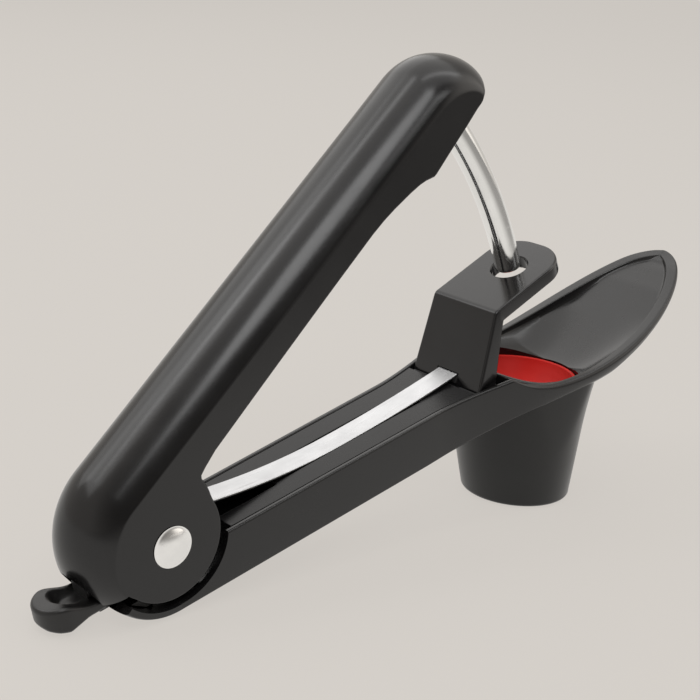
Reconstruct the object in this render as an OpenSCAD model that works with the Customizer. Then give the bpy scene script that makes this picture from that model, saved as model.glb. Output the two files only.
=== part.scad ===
// Hand-held cherry pitter: a lower arm with scoop, seat and pit cup, and a sprung upper handle
// whose curved plunger swings through a guide bracket and the seat.
// Millimetres, +Z up. The origin is on the table, half way between the tab's end and the scoop's tip.
// Most pieces are drawn in the arm frame: origin on the pivot axis, +X along the arm towards the
// scoop, +Z square to the arm. stand() puts that frame on the table.

/* [Stance] */
// Slope of the arm when the tool stands on its cup and heel, in degrees
stand_tilt = 14.4; // [11:0.1:17]
// Height of the pivot axis above the table
pivot_h = 14.4; // [13.8:0.1:16]
// Distance from the pivot axis to the plunger
plunger_r = 100; // [94:0.5:110]
// Height of the seat's top edge above the table
seat_h = 27.6; // [26.8:0.1:28.4]
// Distance the foot's centre lies ahead of the seat's centre
foot_lead = 3; // [1:0.1:5]

/* [Arm] */
// Width of the arm at the hub
arm_w = 18.6; // [18.4:0.1:20]
// Extra width on each side where the arm flares into the scoop
arm_flare = 2.6; // [2:0.1:3.2]
// Depth of the arm's rim below the pivot axis
rim_drop = 3; // [2.6:0.1:3.4]
// Height of the arm's sides
arm_side_h = 10.5; // [9.8:0.1:10.8]
// Thickness of the arm's rim and side walls
rim_t = 1.2; // [1:0.1:1.3]
// Thickness of the arm's floor
floor_t = 2.2; // [1.8:0.1:2.6]
// Depth of the deck below the rim
deck_drop = 0.9; // [0.7:0.1:1.3]
// Thickness of the deck plate
deck_t = 1.8; // [1.2:0.1:2.4]

/* [Hinge] */
// Radius of the handle's hub
hub_r = 11.1; // [10.4:0.1:11.4]
// Gap between the hub and the arm around it
hub_gap = 1.2; // [1:0.1:1.4]
// Radius of the pivot pin
pin_r = 2.4; // [2:0.1:2.8]
// Radius of the pin's domed heads
pin_head_r = 4.05; // [3.7:0.05:4.6]
// Height of the domed heads
pin_head_h = 0.9; // [0.6:0.1:1.3]
// Thickness of the arm's two hinge ears
ear_t = 2.2; // [1.8:0.1:2.4]
// Outer radius of the hinge ears
ear_r = 7.2; // [6.4:0.1:7.6]
// Thickness of the hinge washers
washer_t = 0.4; // [0.3:0.05:0.5]
// Running clearance of the pin in the handle
pin_play = 0.05; // [0.02:0.01:0.09]

/* [Handle] */
// Width of the handle
handle_w = 18.2; // [17.8:0.1:18.4]
// Angle between the handle and the arm when open, in degrees
handle_angle = 30.4; // [29:0.1:32]
// Height of the handle's back above the pivot
back_h = 18.2; // [17.4:0.1:19]
// Rise of the crowned back above the flat cheeks
crown_h = 5.8; // [5:0.1:6.4]
// Thickness of the cheeks
cheek_t = 2.2; // [1.9:0.1:2.4]
// Distance the tip reaches past the plunger
tip_reach = 8.8; // [8:0.1:9.6]

/* [Plunger and guide] */
// Radius of the plunger rod
rod_r = 2.8; // [2.4:0.1:3]
// Radius of the guide hole
guide_r = 4.2; // [3.9:0.1:4.6]
// Distance the bracket's fold lies behind the plunger
fold_back = 14.7; // [14:0.1:16]
// Height of the bracket's fold above the pivot axis
fold_h = 11.8; // [11:0.1:12.4]
// Lean of the bracket's wall, in degrees
wall_lean = 26.4; // [22:0.1:28]
// Slope of the bracket's plate against the arm, in degrees
plate_rise = 11.1; // [9:0.1:13]
// Thickness of the bracket's wall and plate
bracket_t = 3.2; // [2.6:0.1:3.6]
// Length of the bracket's plate
plate_len = 23.6; // [22:0.1:25]

/* [Scoop and cup] */
// Half length of the scoop's oval rim
scoop_a = 36.4; // [35:0.1:38]
// Half width of the scoop's oval rim
scoop_b = 16.2; // [16:0.1:17.2]
// Distance the scoop's centre lies ahead of the seat's centre
scoop_lead = 12; // [11:0.1:13]
// Height of the rim's lowest point above the seat's top edge
rim_dip_h = 2.4; // [2.1:0.1:3]
// Rise of the scoop's tip above the rim's lowest point
tip_rise = 20.6; // [19:0.1:22.4]
// Height of the scoop's lip
lip_h = 2.2; // [1.8:0.1:2.6]
// Width of the scoop's lip
lip_w = 1.9; // [1.6:0.1:2.4]
// Radius of the seat
seat_r = 13.2; // [12.8:0.1:13.5]
// Radius of the pit hole in the seat
pit_hole_r = 4.6; // [4:0.1:5.2]
// Radius of the cup's foot
foot_r = 12.2; // [11.6:0.1:12.8]
// Rise of the cup's radius for each millimetre of height
cup_draft = 0.15; // [0.13:0.005:0.17]
// Thickness of the cup's wall
cup_t = 1.8; // [1.5:0.1:2.2]

/* [Spring] */
// Width of the leaf spring
spring_w = 5.5; // [4.8:0.1:6]
// Thickness of the leaf spring
spring_t = 0.5; // [0.4:0.05:0.6]

/* [Lock] */
// Width of the latch's thumb tab
tab_w = 9.6; // [9:0.1:9.8]
// Travel of the latch from free to locked
latch_travel = 4.5; // [4:0.1:4.8]

/* [Hidden] */

black = "#2b2a2b";
dark = "#333234";
steel = "#c9cbcc";
red = "#b83228";
cut = 60;
fit_gap = 0.02;
seam = 0.15;
slide_gap = 0.1;
weld = 0.4;

// Where the arm frame stands on the table: the seat's centre lies on the plunger's arc
foot_run = sqrt(plunger_r * plunger_r - pow(seat_h - pivot_h, 2)) + foot_lead;
shelf_z = -8.8;
shelf_t = 2.1;
tab_low = shelf_z + slide_gap;
tab_top = tab_low + 2.8;
lip_top = tab_top + 2.8;
tab_end = -24.6;
tab_reach = foot_run - tab_end * cos(stand_tilt) + lip_top * sin(stand_tilt);
tip_lead = scoop_lead + scoop_a - foot_lead;
foot_c = (tab_reach - tip_lead) / 2;
pivot_x = foot_c - foot_run;
seat_x = foot_c - foot_lead;

// Heights in the arm frame
rim_z = -rim_drop;
side_z = -rim_drop - arm_side_h;
belly_z = -pivot_h;
deck_z = rim_z - deck_drop;
well_r = hub_r + hub_gap;

// The arm's crowned underside: flat sides end at side_z and the middle reaches belly_z
belly_rise = side_z - belly_z;
belly_r = (pow(arm_w / 2, 2) + pow(belly_rise, 2)) / (2 * belly_rise);

// Half width of the arm along its length, with a smooth flare into the scoop
bracket_base_x = plunger_r - fold_back - (fold_h - deck_z) * tan(wall_lean);
flare_run = 24;
flare_from = bracket_base_x - flare_run / 2;
arm_spread = 0.009;
function ease(t) = t <= 0 ? 0 : t >= 1 ? 1 : t * t * (3 - 2 * t);
function arm_half(x) = arm_w / 2 + arm_spread * x + arm_flare * ease((x - flare_from) / flare_run);

// The channel between the rims ends just behind the scoop
channel_spare = 2.2;
end_wall = 1.6;
deck_gap = 1.2;
channel_end = bracket_base_x + bracket_t / cos(wall_lean) + channel_spare;
arm_front = channel_end + end_wall;
deck_rear = well_r + deck_gap;
deck_front = bracket_base_x - deck_gap;

module stand() {
    translate([pivot_x, 0, pivot_h]) rotate([0, -stand_tilt, 0]) children();
}

// A side outline, x and z, made into a slab that is centred on the middle plane
module slab(width) {
    rotate([90, 0, 0]) linear_extrude(width, center = true) children();
}

// A section swung about the cross axis from one angle to another
module swing(from, to) {
    rotate([90, 0, 0]) rotate([0, 0, from]) rotate_extrude(angle = to - from, $fn = 180) children();
}

// A cylinder along the cross axis
module cross_rod(radius, from_y, to_y) {
    translate([0, to_y, 0]) rotate([90, 0, 0]) cylinder(h = to_y - from_y, r = radius, $fn = 96);
}

// Plan of the arm between two stations, drawn in from its sides
module arm_plan(from, to, inset) {
    steps = 24;
    stations = [for (i = [0:steps]) from + (to - from) * i / steps];
    near = [for (x = stations) [x, inset - arm_half(x)]];
    far = [for (i = [steps:-1:0]) [stations[i], arm_half(stations[i]) - inset]];
    polygon(concat(near, far));
}

// Scoop: rings of points around the seat, from the outer lip under the bowl to the hole and back
// up the inside. All of it is in table coordinates.
ring_n = 64;
scoop_x = seat_x + scoop_lead;
scoop_tip_x = scoop_x + scoop_a;
dip_x = seat_x - 5;
rim_low = seat_h + rim_dip_h;
bowl_edge_h = seat_h + 0.9;
bore_r = seat_r + 0.1;
collar_r = bore_r + 1.1;
split_drop = 3.2;
split_h = seat_h - split_drop;
ledge_h = 4.2;
split_slope = 0.144;
cup_top_r = foot_r + cup_draft * split_h;
cup_lean = atan(foot_lead / seat_h);
function arm_rim_h(x) = (x - pivot_x) * tan(stand_tilt) + rim_z / cos(stand_tilt) + pivot_h;
rear_run = 10.7;
rear_rise = arm_rim_h(dip_x - rear_run) - rim_low;
function rim_curve(x) = x > dip_x
    ? rim_low + tip_rise * pow((x - dip_x) / (scoop_tip_x - dip_x), 1.7)
    : rim_low + rear_rise * pow((dip_x - x) / rear_run, 2);
function rim_at(x) = x > dip_x
    ? rim_curve(x)
    : min(rim_curve(x), max(arm_rim_h(x) - weld, rim_low + slide_gap));
function split_at(x) = split_h + split_slope * (x - foot_c);
rear_stretch = 1.2;
function oval(a, inset) = let (
    stretch = cos(a) < 0 ? rear_stretch : 1
) [scoop_x + (scoop_a - inset) * stretch * cos(a), (scoop_b - inset) * sin(a)];
function round_at(a, x, r) = [x + r * cos(a), r * sin(a)];
function mix(p, q, t) = p * (1 - t) + q * t;
function lift(p, z) = [p[0], p[1], z];

under_n = 6;
bowl_n = 7;
lip_tuck = 0.35;
lip_step = 0.3;
step_drop = 1.3;
cup_shift = 0.6;
hole_r = bore_r - 0.5;
function under_point(a, t) = let (
    top = oval(a, lip_tuck),
    low = round_at(a, seat_x - cup_shift, cup_top_r),
    p = mix(top, low, t),
    z = mix(split_at(p[0]), rim_at(top[0]) - lip_h, pow(1 - t, 1.1))
) lift(p, z);
function bowl_point(a, t) = let (
    low = round_at(a, seat_x, hole_r),
    top = oval(a, lip_w + lip_step),
    p = mix(low, top, t),
    z = mix(bowl_edge_h, rim_at(top[0]) - step_drop, pow(t, 1.15))
) lift(p, z);
function scoop_ring(j) = [for (k = [0:ring_n - 1]) let (a = 360 * k / ring_n, top = oval(a, 0),
    inner = oval(a, lip_w), hole = round_at(a, seat_x, hole_r))
    j == 0 ? lift(top, rim_at(top[0]))
    : j <= under_n + 1 ? under_point(a, (j - 1) / under_n)
    : j == under_n + 2 ? lift(hole, split_at(hole[0]))
    : j <= under_n + 3 + bowl_n ? bowl_point(a, (j - under_n - 3) / bowl_n)
    : lift(inner, rim_at(oval(a, 0)[0]))];
scoop_rings = under_n + bowl_n + 5;

module scoop_bowl() {
    points = [for (j = [0:scoop_rings - 1]) each scoop_ring(j)];
    faces = [for (j = [0:scoop_rings - 1], k = [0:ring_n - 1]) let (
        j2 = (j + 1) % scoop_rings, k2 = (k + 1) % ring_n,
        p = j * ring_n + k, q = j * ring_n + k2, r = j2 * ring_n + k2, s = j2 * ring_n + k)
        each [[p, q, r], [p, r, s]]];
    polyhedron(points, faces, convexity = 8);
}

// Hinge spacing: cheeks outside, then washers, then the arm's ears
cheek_in = handle_w / 2 - cheek_t;
ear_out = cheek_in - washer_t - 0.1;
ear_in = ear_out - ear_t;
ear_leg_back = 5;
ear_leg_front = 7;
heel_back = 0.8;
shelf_back = 9.2;
shelf_len = 15;

// Latch guide inside the heel
latch_half = ear_in - 0.3;
latch_top = shelf_z + slide_gap + 1.8;
latch_screw_x = -2.5;
latch_screw_r = 1;

// Screws that hold the bracket from below
foot_front = channel_end - seam;
foot_half = arm_half(bracket_base_x) - rim_t - 0.4;
foot_low = deck_z - 4.6;
screw_x = bracket_base_x + 2.4;
screw_y = 5.4;
screw_r = 1.1;
screw_head_r = 2.1;
screw_head_h = 1.4;
screw_inset = 0.6;
screw_bite = 3.2;
screw_play = 0.15;

module arm_outer() {
    intersection() {
        translate([0, 0, belly_z - 1]) linear_extrude(pivot_h + 1 + rim_z)
            arm_plan(-heel_back, arm_front, 0);
        translate([-1, 0, belly_z + belly_r]) rotate([0, 90, 0])
            cylinder(h = arm_front + 2, r = belly_r, $fn = 240);
    }
}

module heel() {
    intersection() {
        translate([-heel_back, 0, 0]) swing(180, 271) intersection() {
            translate([pivot_h - belly_r, 0]) circle(belly_r, $fn = 240);
            translate([well_r, -arm_w / 2]) square([pivot_h, arm_w]);
        }
        translate([-pivot_h * 2, -arm_w, belly_z - 1])
            cube([pivot_h * 2 + 1, arm_w * 2, shelf_z - belly_z + 1]);
    }
}

module lower_arm() {
    color(black) difference() {
        union() {
            difference() {
                stand_pieces();
                stand() channel();
            }
            stand() arm_inside();
        }
        stand() arm_cuts();
        intersection() {
            cup_axis() cup_cone(foot_r + seam, 0);
            cup_top_cut(0.05);
        }
        translate([seat_x, 0, split_h - seat_h / 2]) cylinder(h = seat_h, r = bore_r, $fn = 120);
        translate([seat_x, 0, split_h - seat_h / 2])
            cylinder(h = collar_rise + seat_h / 2, r = collar_r, $fn = 120);
    }
}
collar_rise = 1.4;
collar_top = split_h + collar_rise;

module stand_pieces() {
    stand() difference() {
        arm_outer();
        cross_rod(well_r, -arm_w, arm_w);
    }
    stand() heel();
    scoop_bowl();
}

module channel() {
    translate([0, 0, belly_z + floor_t]) linear_extrude(pivot_h)
        arm_plan(hub_r - pin_r, channel_end, rim_t);
}

module arm_inside() {
    for (side = [-1, 1]) {
        mid = side * (ear_in + ear_out) / 2;
        translate([0, mid, 0]) slab(ear_t) ear_outline();
        ledge(side);
        translate([screw_x, side * screw_y, belly_z + floor_t - 0.6])
            cylinder(h = foot_low - belly_z - floor_t + 0.6, r = screw_head_r + 1, $fn = 48);
    }
    intersection() {
        translate([-shelf_back, -ear_out, shelf_z - shelf_t]) cube([shelf_len, ear_out * 2, shelf_t]);
        cross_rod(well_r + weld, -ear_out, ear_out);
    }
}

module ear_outline() {
    circle(ear_r, $fn = 96);
    intersection() {
        translate([-ear_leg_back, -pivot_h]) square([ear_leg_back + ear_leg_front, pivot_h]);
        circle(well_r + weld, $fn = 120);
    }
}

// A narrow ledge along the channel's side carries the deck plate
module ledge(side) {
    ledge_w = 1.2;
    ledge_t = 1.6;
    intersection() {
        translate([0, 0, deck_z - deck_t - ledge_t]) linear_extrude(ledge_t) difference() {
            arm_plan(deck_rear, deck_front, rim_t - weld);
            arm_plan(deck_rear - 1, deck_front + 1, rim_t + ledge_w);
        }
        translate([0, side > 0 ? 0 : -arm_w, belly_z]) cube([plunger_r, arm_w, pivot_h]);
    }
}

module arm_cuts() {
    cross_rod(pin_r + fit_gap, -arm_w, arm_w);
    translate([latch_screw_x, 0, shelf_z - shelf_t - slide_gap])
        cylinder(h = shelf_t + weld, r = latch_screw_r + fit_gap, $fn = 32);
    for (side = [-1, 1]) translate([screw_x, side * screw_y, belly_z - 1]) {
        cylinder(h = foot_low - belly_z + 2, r = screw_r + screw_play, $fn = 32);
        cylinder(h = 1 + belly_rise + screw_inset + screw_head_h + slide_gap / 2,
            r = screw_head_r + screw_play, $fn = 48);
    }
}

module deck_plate() {
    slot_half = spring_w / 2 + 0.9;
    slot_len = 18.4;
    color(dark) stand() translate([0, 0, deck_z - deck_t]) linear_extrude(deck_t) difference() {
        arm_plan(deck_rear, deck_front, rim_t + seam);
        translate([deck_rear - 1, -slot_half]) square([slot_len + 1, slot_half * 2]);
    }
}

// Guide bracket: a leaning wall and a plate with the plunger's guide hole
bracket_w = arm_w - 0.2;
fold_x = plunger_r - fold_back;
along = [cos(plate_rise), sin(plate_rise)];
plate_mid = [fold_x, fold_h] - bracket_t / 2 * [-along[1], along[0]];
toward = plate_mid * along;
hole_run = sqrt(plunger_r * plunger_r - plate_mid * plate_mid + toward * toward) - toward;
module guide_bracket() {
    slot_play = 0.4;
    slot_over = 0.56;
    slot_low = deck_z + slot_play;
    slot_h = spring_z(spring_front_x) + spring_t / 2 + slot_over - slot_low;
    hole_depth = 20;
    color(black) stand() difference() {
        union() {
            intersection() {
                slab(bracket_w * 2) translate([fold_x, fold_h]) bent_strip();
                translate([fold_x, 0, deck_z - 1]) linear_extrude(fold_h * 3) bracket_plan();
            }
            translate([deck_front + seam, -foot_half, foot_low])
                cube([foot_front - deck_front - seam, foot_half * 2, deck_z - foot_low]);
        }
        translate([fold_x, 0, fold_h]) rotate([0, -plate_rise, 0]) translate([hole_run, 0, -hole_depth / 2])
            cylinder(h = hole_depth, r = guide_r, $fn = 96);
        translate([bracket_base_x - 3, -spring_w / 2 - slot_play, slot_low])
            cube([channel_end - bracket_base_x + 6, spring_w + slot_play * 2, slot_h]);
        for (side = [-1, 1]) translate([screw_x, side * screw_y, foot_low - 1])
            cylinder(h = 4.6, r = screw_r + fit_gap, $fn = 32);
    }
}

// Side outline of the bent strip, with the fold at the origin
module bent_strip() {
    wall_len = (fold_h - deck_z + 1) / cos(wall_lean);
    wall_dir = [-sin(wall_lean), -cos(wall_lean)];
    wall_in = [cos(wall_lean), -sin(wall_lean)];
    plate_in = [along[1], -along[0]];
    corner = bracket_t / (1 + wall_in * plate_in) * (wall_in + plate_in);
    polygon([wall_len * wall_dir, [0, 0], plate_len * along, plate_len * along + bracket_t * plate_in,
        corner, wall_len * wall_dir + bracket_t * wall_in]);
}

// Plan of the bracket: the wall widens towards the deck and the plate's end is rounded
base_spread = 0.8;
plate_end_r = 7;
module bracket_plan() {
    side = bracket_w / 2;
    base = side + base_spread;
    run = plate_len - plate_end_r;
    polygon([[-fold_back, -base], [-fold_back, base], [0, side], [run, side], [run, -side], [0, -side]]);
    for (end = [-1, 1]) translate([run, end * (side - plate_end_r)]) circle(plate_end_r, $fn = 96);
    translate([run - 1, plate_end_r - side]) square([plate_end_r + 1, bracket_w - plate_end_r * 2]);
}

module bracket_screws() {
    color(steel) stand() for (side = [-1, 1]) translate([screw_x, side * screw_y, side_z + screw_inset]) {
        cylinder(h = screw_head_h, r = screw_head_r, $fn = 48);
        cylinder(h = foot_low + screw_bite - side_z - screw_inset, r = screw_r, $fn = 32);
    }
}

// Leaf spring: bowed down to a low point on the deck, with its front end turned down behind the wall
spring_low_x = 45.6;
spring_low_z = deck_z + spring_t / 2 + 0.2;
spring_rear_r = 150;
spring_front_r = 380;
spring_rear_x = 7.8;
spring_front_x = channel_end - 0.3;
spring_n = 40;
function spring_r(x) = x < spring_low_x ? spring_rear_r : spring_front_r;
function spring_z(x) = spring_low_z + pow(x - spring_low_x, 2) / (2 * spring_r(x));
module leaf_spring() {
    xs = [for (i = [0:spring_n]) spring_rear_x + (spring_front_x - spring_rear_x) * i / spring_n];
    top = [for (x = xs) [x, spring_z(x) + spring_t / 2]];
    under = [for (i = [spring_n:-1:0])
        let (x = xs[i] - (i == spring_n ? spring_t : 0)) [x, spring_z(x) - spring_t / 2]];
    hook_z = deck_z + slide_gap;
    hook = [[spring_front_x, hook_z], [spring_front_x - spring_t, hook_z]];
    color(steel) stand() slab(spring_w) polygon(concat(top, hook, under));
}

// Pit cup: a leaning cone, cut level for the foot and along the arm's underside at the top
module pit_cup() {
    ledge_w = 2.4;
    ledge_t = 1.5;
    color(black) difference() {
        union() {
            intersection() {
                cup_axis() cup_cone(foot_r, 0);
                translate([foot_c - cut, -cut, 0]) cube([cut * 2, cut * 2, cut]);
                cup_top_cut(0);
            }
            difference() {
                translate([seat_x, 0, split_h - seat_h / 4])
                    cylinder(h = collar_rise - seam + seat_h / 4, r = collar_r - slide_gap / 2, $fn = 120);
                cup_top_cut(-0.5);
            }
        }
        cup_axis() cup_cone(foot_r - cup_t, split_h - ledge_h - ledge_t);
        translate([seat_x, 0, split_h - ledge_h]) {
            cylinder(h = seat_h, r = seat_r + slide_gap / 2, $fn = 120);
            translate([0, 0, -ledge_t * 2]) cylinder(h = seat_h, r = seat_r - ledge_w, $fn = 120);
        }
    }
}

module cup_axis() {
    translate([foot_c, 0, 0]) rotate([0, -cup_lean, 0]) children();
}

module cup_cone(r, top) {
    low = -6;
    spare = 12;
    high = top > 0 ? top : split_h + spare;
    translate([0, 0, low])
        cylinder(h = high - low, r1 = r + cup_draft * low, r2 = r + cup_draft * high, $fn = 180);
}

module cup_top_cut(shift) {
    translate([foot_c, 0, split_h - seam + shift]) rotate([0, -atan(split_slope), 0])
        translate([-cut, -cut, -cut]) cube([cut * 2, cut * 2, cut]);
}

// Soft seat: a funnel with a ring that stands on the cup's ledge
ring_w = 2.55;
lip_flat = 1.25;
funnel_w = 2.35;
funnel_drop = 2.2;
web_t = 1.2;
web_w = 3;
module cherry_seat() {
    low = split_h - ledge_h;
    web_low = low + 0.2;
    outer = seat_r - 0.05;
    color(red) translate([seat_x, 0, 0]) rotate_extrude($fn = 120) polygon([
        [pit_hole_r, web_low],
        [outer - ring_w, web_low],
        [outer - ring_w, low],
        [outer, low],
        [outer, seat_h],
        [outer - lip_flat, seat_h],
        [outer - funnel_w, seat_h - funnel_drop],
        [pit_hole_r + web_w, low + funnel_drop],
        [pit_hole_r, web_low + web_t]
    ]);
}

head_face = handle_w / 2 + 0.05;
dome_r = (pow(pin_head_r, 2) + pow(pin_head_h, 2)) / (2 * pin_head_h);
module pin_dome(side) {
    rotate([side * -90, 0, 0]) intersection() {
        translate([0, 0, head_face]) cylinder(h = pin_head_h, r = pin_head_r, $fn = 96);
        translate([0, 0, head_face + pin_head_h - dome_r]) sphere(dome_r, $fn = 180);
    }
}

module pivot_pin() {
    color(steel) stand() {
        pin_dome(-1);
        cross_rod(pin_r, -head_face - 0.2, head_face - seam);
    }
}

module pivot_cap() {
    color(steel) stand() pin_dome(1);
}

module pivot_washers() {
    color(steel) stand() for (side = [-1, 1]) difference() {
        cross_rod(pin_head_r + 0.6, side * (ear_out + washer_t / 2 + 0.05) - washer_t / 2,
            side * (ear_out + washer_t / 2 + 0.05) + washer_t / 2);
        cross_rod(pin_r + fit_gap, -handle_w, handle_w);
    }
}

module pivot_sleeve() {
    color(steel) stand() difference() {
        cross_rod(pin_r + 1.7, -ear_in + 0.05, ear_in - 0.05);
        cross_rod(pin_r + fit_gap, -handle_w, handle_w);
    }
}

// Handle: drawn along its own axis, s ahead and u up, then turned to its open angle
half_w = handle_w / 2;
edge_h = back_h - crown_h;
bulge = [0.5, 0.95];
bulge_edge_r = edge_h - bulge[1];
rear_turn = 92;
hub_lift = 0.4;
tip_end = plunger_r + tip_reach;
neck_points = [[8, -9], [10.8, -1], [11.7, 1], [12.2, 4.6]];
low_points = [
    [18, 5.6], [68, 6.8], [74.7, 6.3], [79.4, 5.5], [82, 4.9], [85.2, 3.5], [97, 4.4], [101.4, 5]
];
drawn_reach = 100;
kink_shift = plunger_r - drawn_reach;
function shifted(p) = p[0] > 40 ? [p[0] + kink_shift, p[1]] : p;
module handle_frame() {
    stand() rotate([0, -handle_angle, 0]) children();
}

// The section has a crowned back; it is drawn wider than the handle and trimmed to the flat cheeks
raw_half = half_w + 0.4;
crown_r = (half_w * half_w + crown_h * crown_h) / (2 * crown_h);
module handle_section(drop) {
    mid = back_h - crown_r - drop;
    intersection() {
        translate([mid, 0]) circle(crown_r, $fn = 240);
        translate([mid, -raw_half]) square([crown_r, raw_half * 2]);
    }
    translate([0, -raw_half]) square([mid + 0.5, raw_half * 2]);
}

module handle_bar(from, to) {
    translate([from, 0, 0]) rotate([90, 0, 90]) linear_extrude(to - from)
        rotate(90) mirror([0, 1]) handle_section(0);
}

// The tip is the bar's end rounded by a blunter crown that turns about a cross axis
tip_round = 12;
tip_axis = tip_end - tip_round;
tip_over = 0.3;
tip_crown_h = 4.2;
tip_crown_r = (half_w * half_w + tip_crown_h * tip_crown_h) / (2 * tip_crown_h);
module handle_tip() {
    intersection() {
        handle_bar(tip_axis, tip_end + 2);
        translate([tip_axis, 0, back_h + tip_over - tip_round]) swing(-100, 100) intersection() {
            translate([tip_round - tip_crown_r, 0]) circle(tip_crown_r, $fn = 240);
            translate([0, -half_w - 1]) square([tip_round, handle_w + 2]);
        }
    }
}

module handle_body() {
    difference() {
        union() {
            translate([bulge[0], 0, bulge[1]]) swing(90, 90 + rear_turn) handle_section(bulge[1]);
            handle_bar(bulge[0], tip_axis);
            handle_tip();
        }
        slab(handle_w * 2) polygon(concat(neck_points, [for (p = low_points) shifted(p)], [
            [tip_end - 4.6, 5.6], [tip_end - 2.6, 7.4], [tip_end + 3, 8], [tip_end + 3, -9]
        ]));
    }
}

cavity_r = bulge_edge_r + 0.6;
cavity_top = edge_h + 0.8;
boss_back = plunger_r - 8;
module handle_cavity() {
    slab(cheek_in * 2) {
        translate(bulge) circle(cavity_r, $fn = 120);
        translate([bulge[0], -pivot_h * 2]) square([boss_back - bulge[0], cavity_top + pivot_h * 2]);
        translate([-pivot_h * 2, -pivot_h * 2]) square([boss_back, pivot_h * 2 - 2]);
    }
}

arch_r = tab_w / 2 + 0.5;
arch_z = -6;
rib_r = 0.9;
spring_rib_x = 8.8;
spring_rib_z = spring_z(spring_rib_x) + spring_t / 2 + rib_r + 0.15;
keeper_r = 9.5;
keeper_angle = 216;
keeper_w = 1.2;
keeper_t = 1;
rib_h = 2.2;
rod_top = 38;
rod_low = 8.4;
set_screw_u = plunger_r * sin(rod_top - handle_angle) - 4;
set_screw_r = 1.5;
module handle_shell() {
    color(black) {
        difference() {
            intersection() {
                union() {
                    handle_frame() handle_body();
                    handle_frame() translate([0, 0, hub_lift]) cross_rod(hub_r, -raw_half, raw_half);
                }
                handle_frame() translate([-cut, -half_w, -cut])
                    cube([tip_end + cut * 2, handle_w, cut * 2]);
            }
            handle_frame() handle_cavity();
            stand() {
                cross_rod(pin_r + pin_play, -handle_w, handle_w);
                swing(rod_low, rod_top) translate([plunger_r, 0]) circle(rod_r + fit_gap, $fn = 64);
                latch_arch();
            }
            handle_frame() translate([boss_back - 1, 0, set_screw_u]) rotate([0, 90, 0])
                cylinder(h = 8, r = set_screw_r + fit_gap, $fn = 48);
        }
        stand() handle_ribs();
    }
}

// Round-topped opening in the rear wall for the latch
module latch_arch() {
    arch_len = pivot_h * 2 - 8;
    translate([-pivot_h * 2, 0, arch_z]) rotate([0, 90, 0]) cylinder(h = arch_len, r = arch_r, $fn = 96);
    translate([-pivot_h * 2, -arch_r, arch_z - pivot_h]) cube([arch_len, arch_r * 2, pivot_h]);
}

// Cross ribs between the cheeks: one presses on the spring, one meets the lock
module handle_ribs() {
    rib_w = cheek_in * 2 + weld;
    translate([spring_rib_x, 0, spring_rib_z]) slab(rib_w) {
        circle(rib_r, $fn = 48);
        translate([-rib_r, 0]) square([rib_r * 2, rib_h]);
    }
    rotate([0, -keeper_angle, 0]) translate([keeper_r, 0, 0])
        cube([keeper_w, rib_w, keeper_t], center = true);
}

module plunger_rod() {
    color(steel) stand() swing(rod_low, rod_top - slide_gap)
        translate([plunger_r, 0]) circle(rod_r, $fn = 64);
}

module rod_set_screw() {
    touch = sqrt(plunger_r * plunger_r - set_screw_u * set_screw_u) - rod_r - 0.1;
    color(steel) handle_frame() translate([boss_back + 0.2, 0, set_screw_u]) rotate([0, 90, 0])
        difference() {
            cylinder(h = touch - boss_back - 0.4, r = set_screw_r, $fn = 48);
            translate([0, 0, -1]) cylinder(h = 2.2, r = 0.8, $fn = 6);
        }
}

// Lock latch: a thumb tab outside, a sliding plate and a locking finger inside
finger_top = -3.1;
finger_t = 1.2;
finger_half = 2.6;
finger_len = 3.9;
post_t = 2;
tab_in = -13.2;
latch_end = 1.8;
dish_r = 4.2;
plan_reach = 20;
module lock_latch() {
    color(black) stand() difference() {
        union() {
            intersection() {
                slab(tab_w) tab_outline();
                translate([0, 0, -plan_reach]) linear_extrude(plan_reach * 2) tab_plan();
            }
            translate([tab_in - 1, -latch_half, tab_low])
                cube([latch_end - tab_in + 1, latch_half * 2, latch_top - tab_low]);
            translate([tab_in - post_t, -finger_half, tab_top - 1])
                cube([post_t, finger_half * 2, finger_top - tab_top + 1]);
            translate([tab_in - post_t, -finger_half, finger_top - finger_t])
                cube([finger_len, finger_half * 2, finger_t]);
        }
        latch_slot();
    }
}

module tab_outline() {
    difference() {
        polygon([
            [tab_end, tab_low + 1.5],
            [tab_end + 0.8, tab_low + 0.4],
            [tab_end + 2.2, tab_low - 0.1],
            [tab_end + 4, tab_low - 0.5],
            [tab_end + 5.4, tab_low],
            [tab_end + 8, tab_low + 0.6],
            [tab_in, tab_low + 0.6],
            [tab_in, tab_top],
            [tab_end + dish_r + 1.4, tab_top],
            [tab_end + dish_r + 1.4, lip_top],
            [tab_end, lip_top]
        ]);
        translate([tab_end + dish_r + 1.5, tab_top + dish_r]) circle(dish_r, $fn = 96);
    }
}

module tab_plan() {
    round_r = tab_w / 2;
    translate([tab_end + round_r, 0]) circle(round_r, $fn = 96);
    translate([tab_end + round_r, -round_r]) square([tab_in - tab_end - round_r, tab_w]);
}

module latch_slot() {
    slot_r = latch_screw_r + slide_gap;
    slot_h = latch_top - shelf_z + 2;
    translate([latch_screw_x, 0, shelf_z - 1]) {
        cylinder(h = slot_h, r = slot_r, $fn = 48);
        translate([-latch_travel, 0, 0]) cylinder(h = slot_h, r = slot_r, $fn = 48);
        translate([-latch_travel, -slot_r, 0]) cube([latch_travel, slot_r * 2, slot_h]);
    }
}

module latch_screw() {
    inset = 0.2;
    shank = latch_top + slide_gap - shelf_z + shelf_t - inset;
    head_r = 1.9;
    head_h = 1;
    color(steel) stand() translate([latch_screw_x, 0, shelf_z - shelf_t + inset]) {
        cylinder(h = shank + inset, r = latch_screw_r, $fn = 32);
        translate([0, 0, shank]) cylinder(h = head_h, r = head_r, $fn = 48);
    }
}

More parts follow.
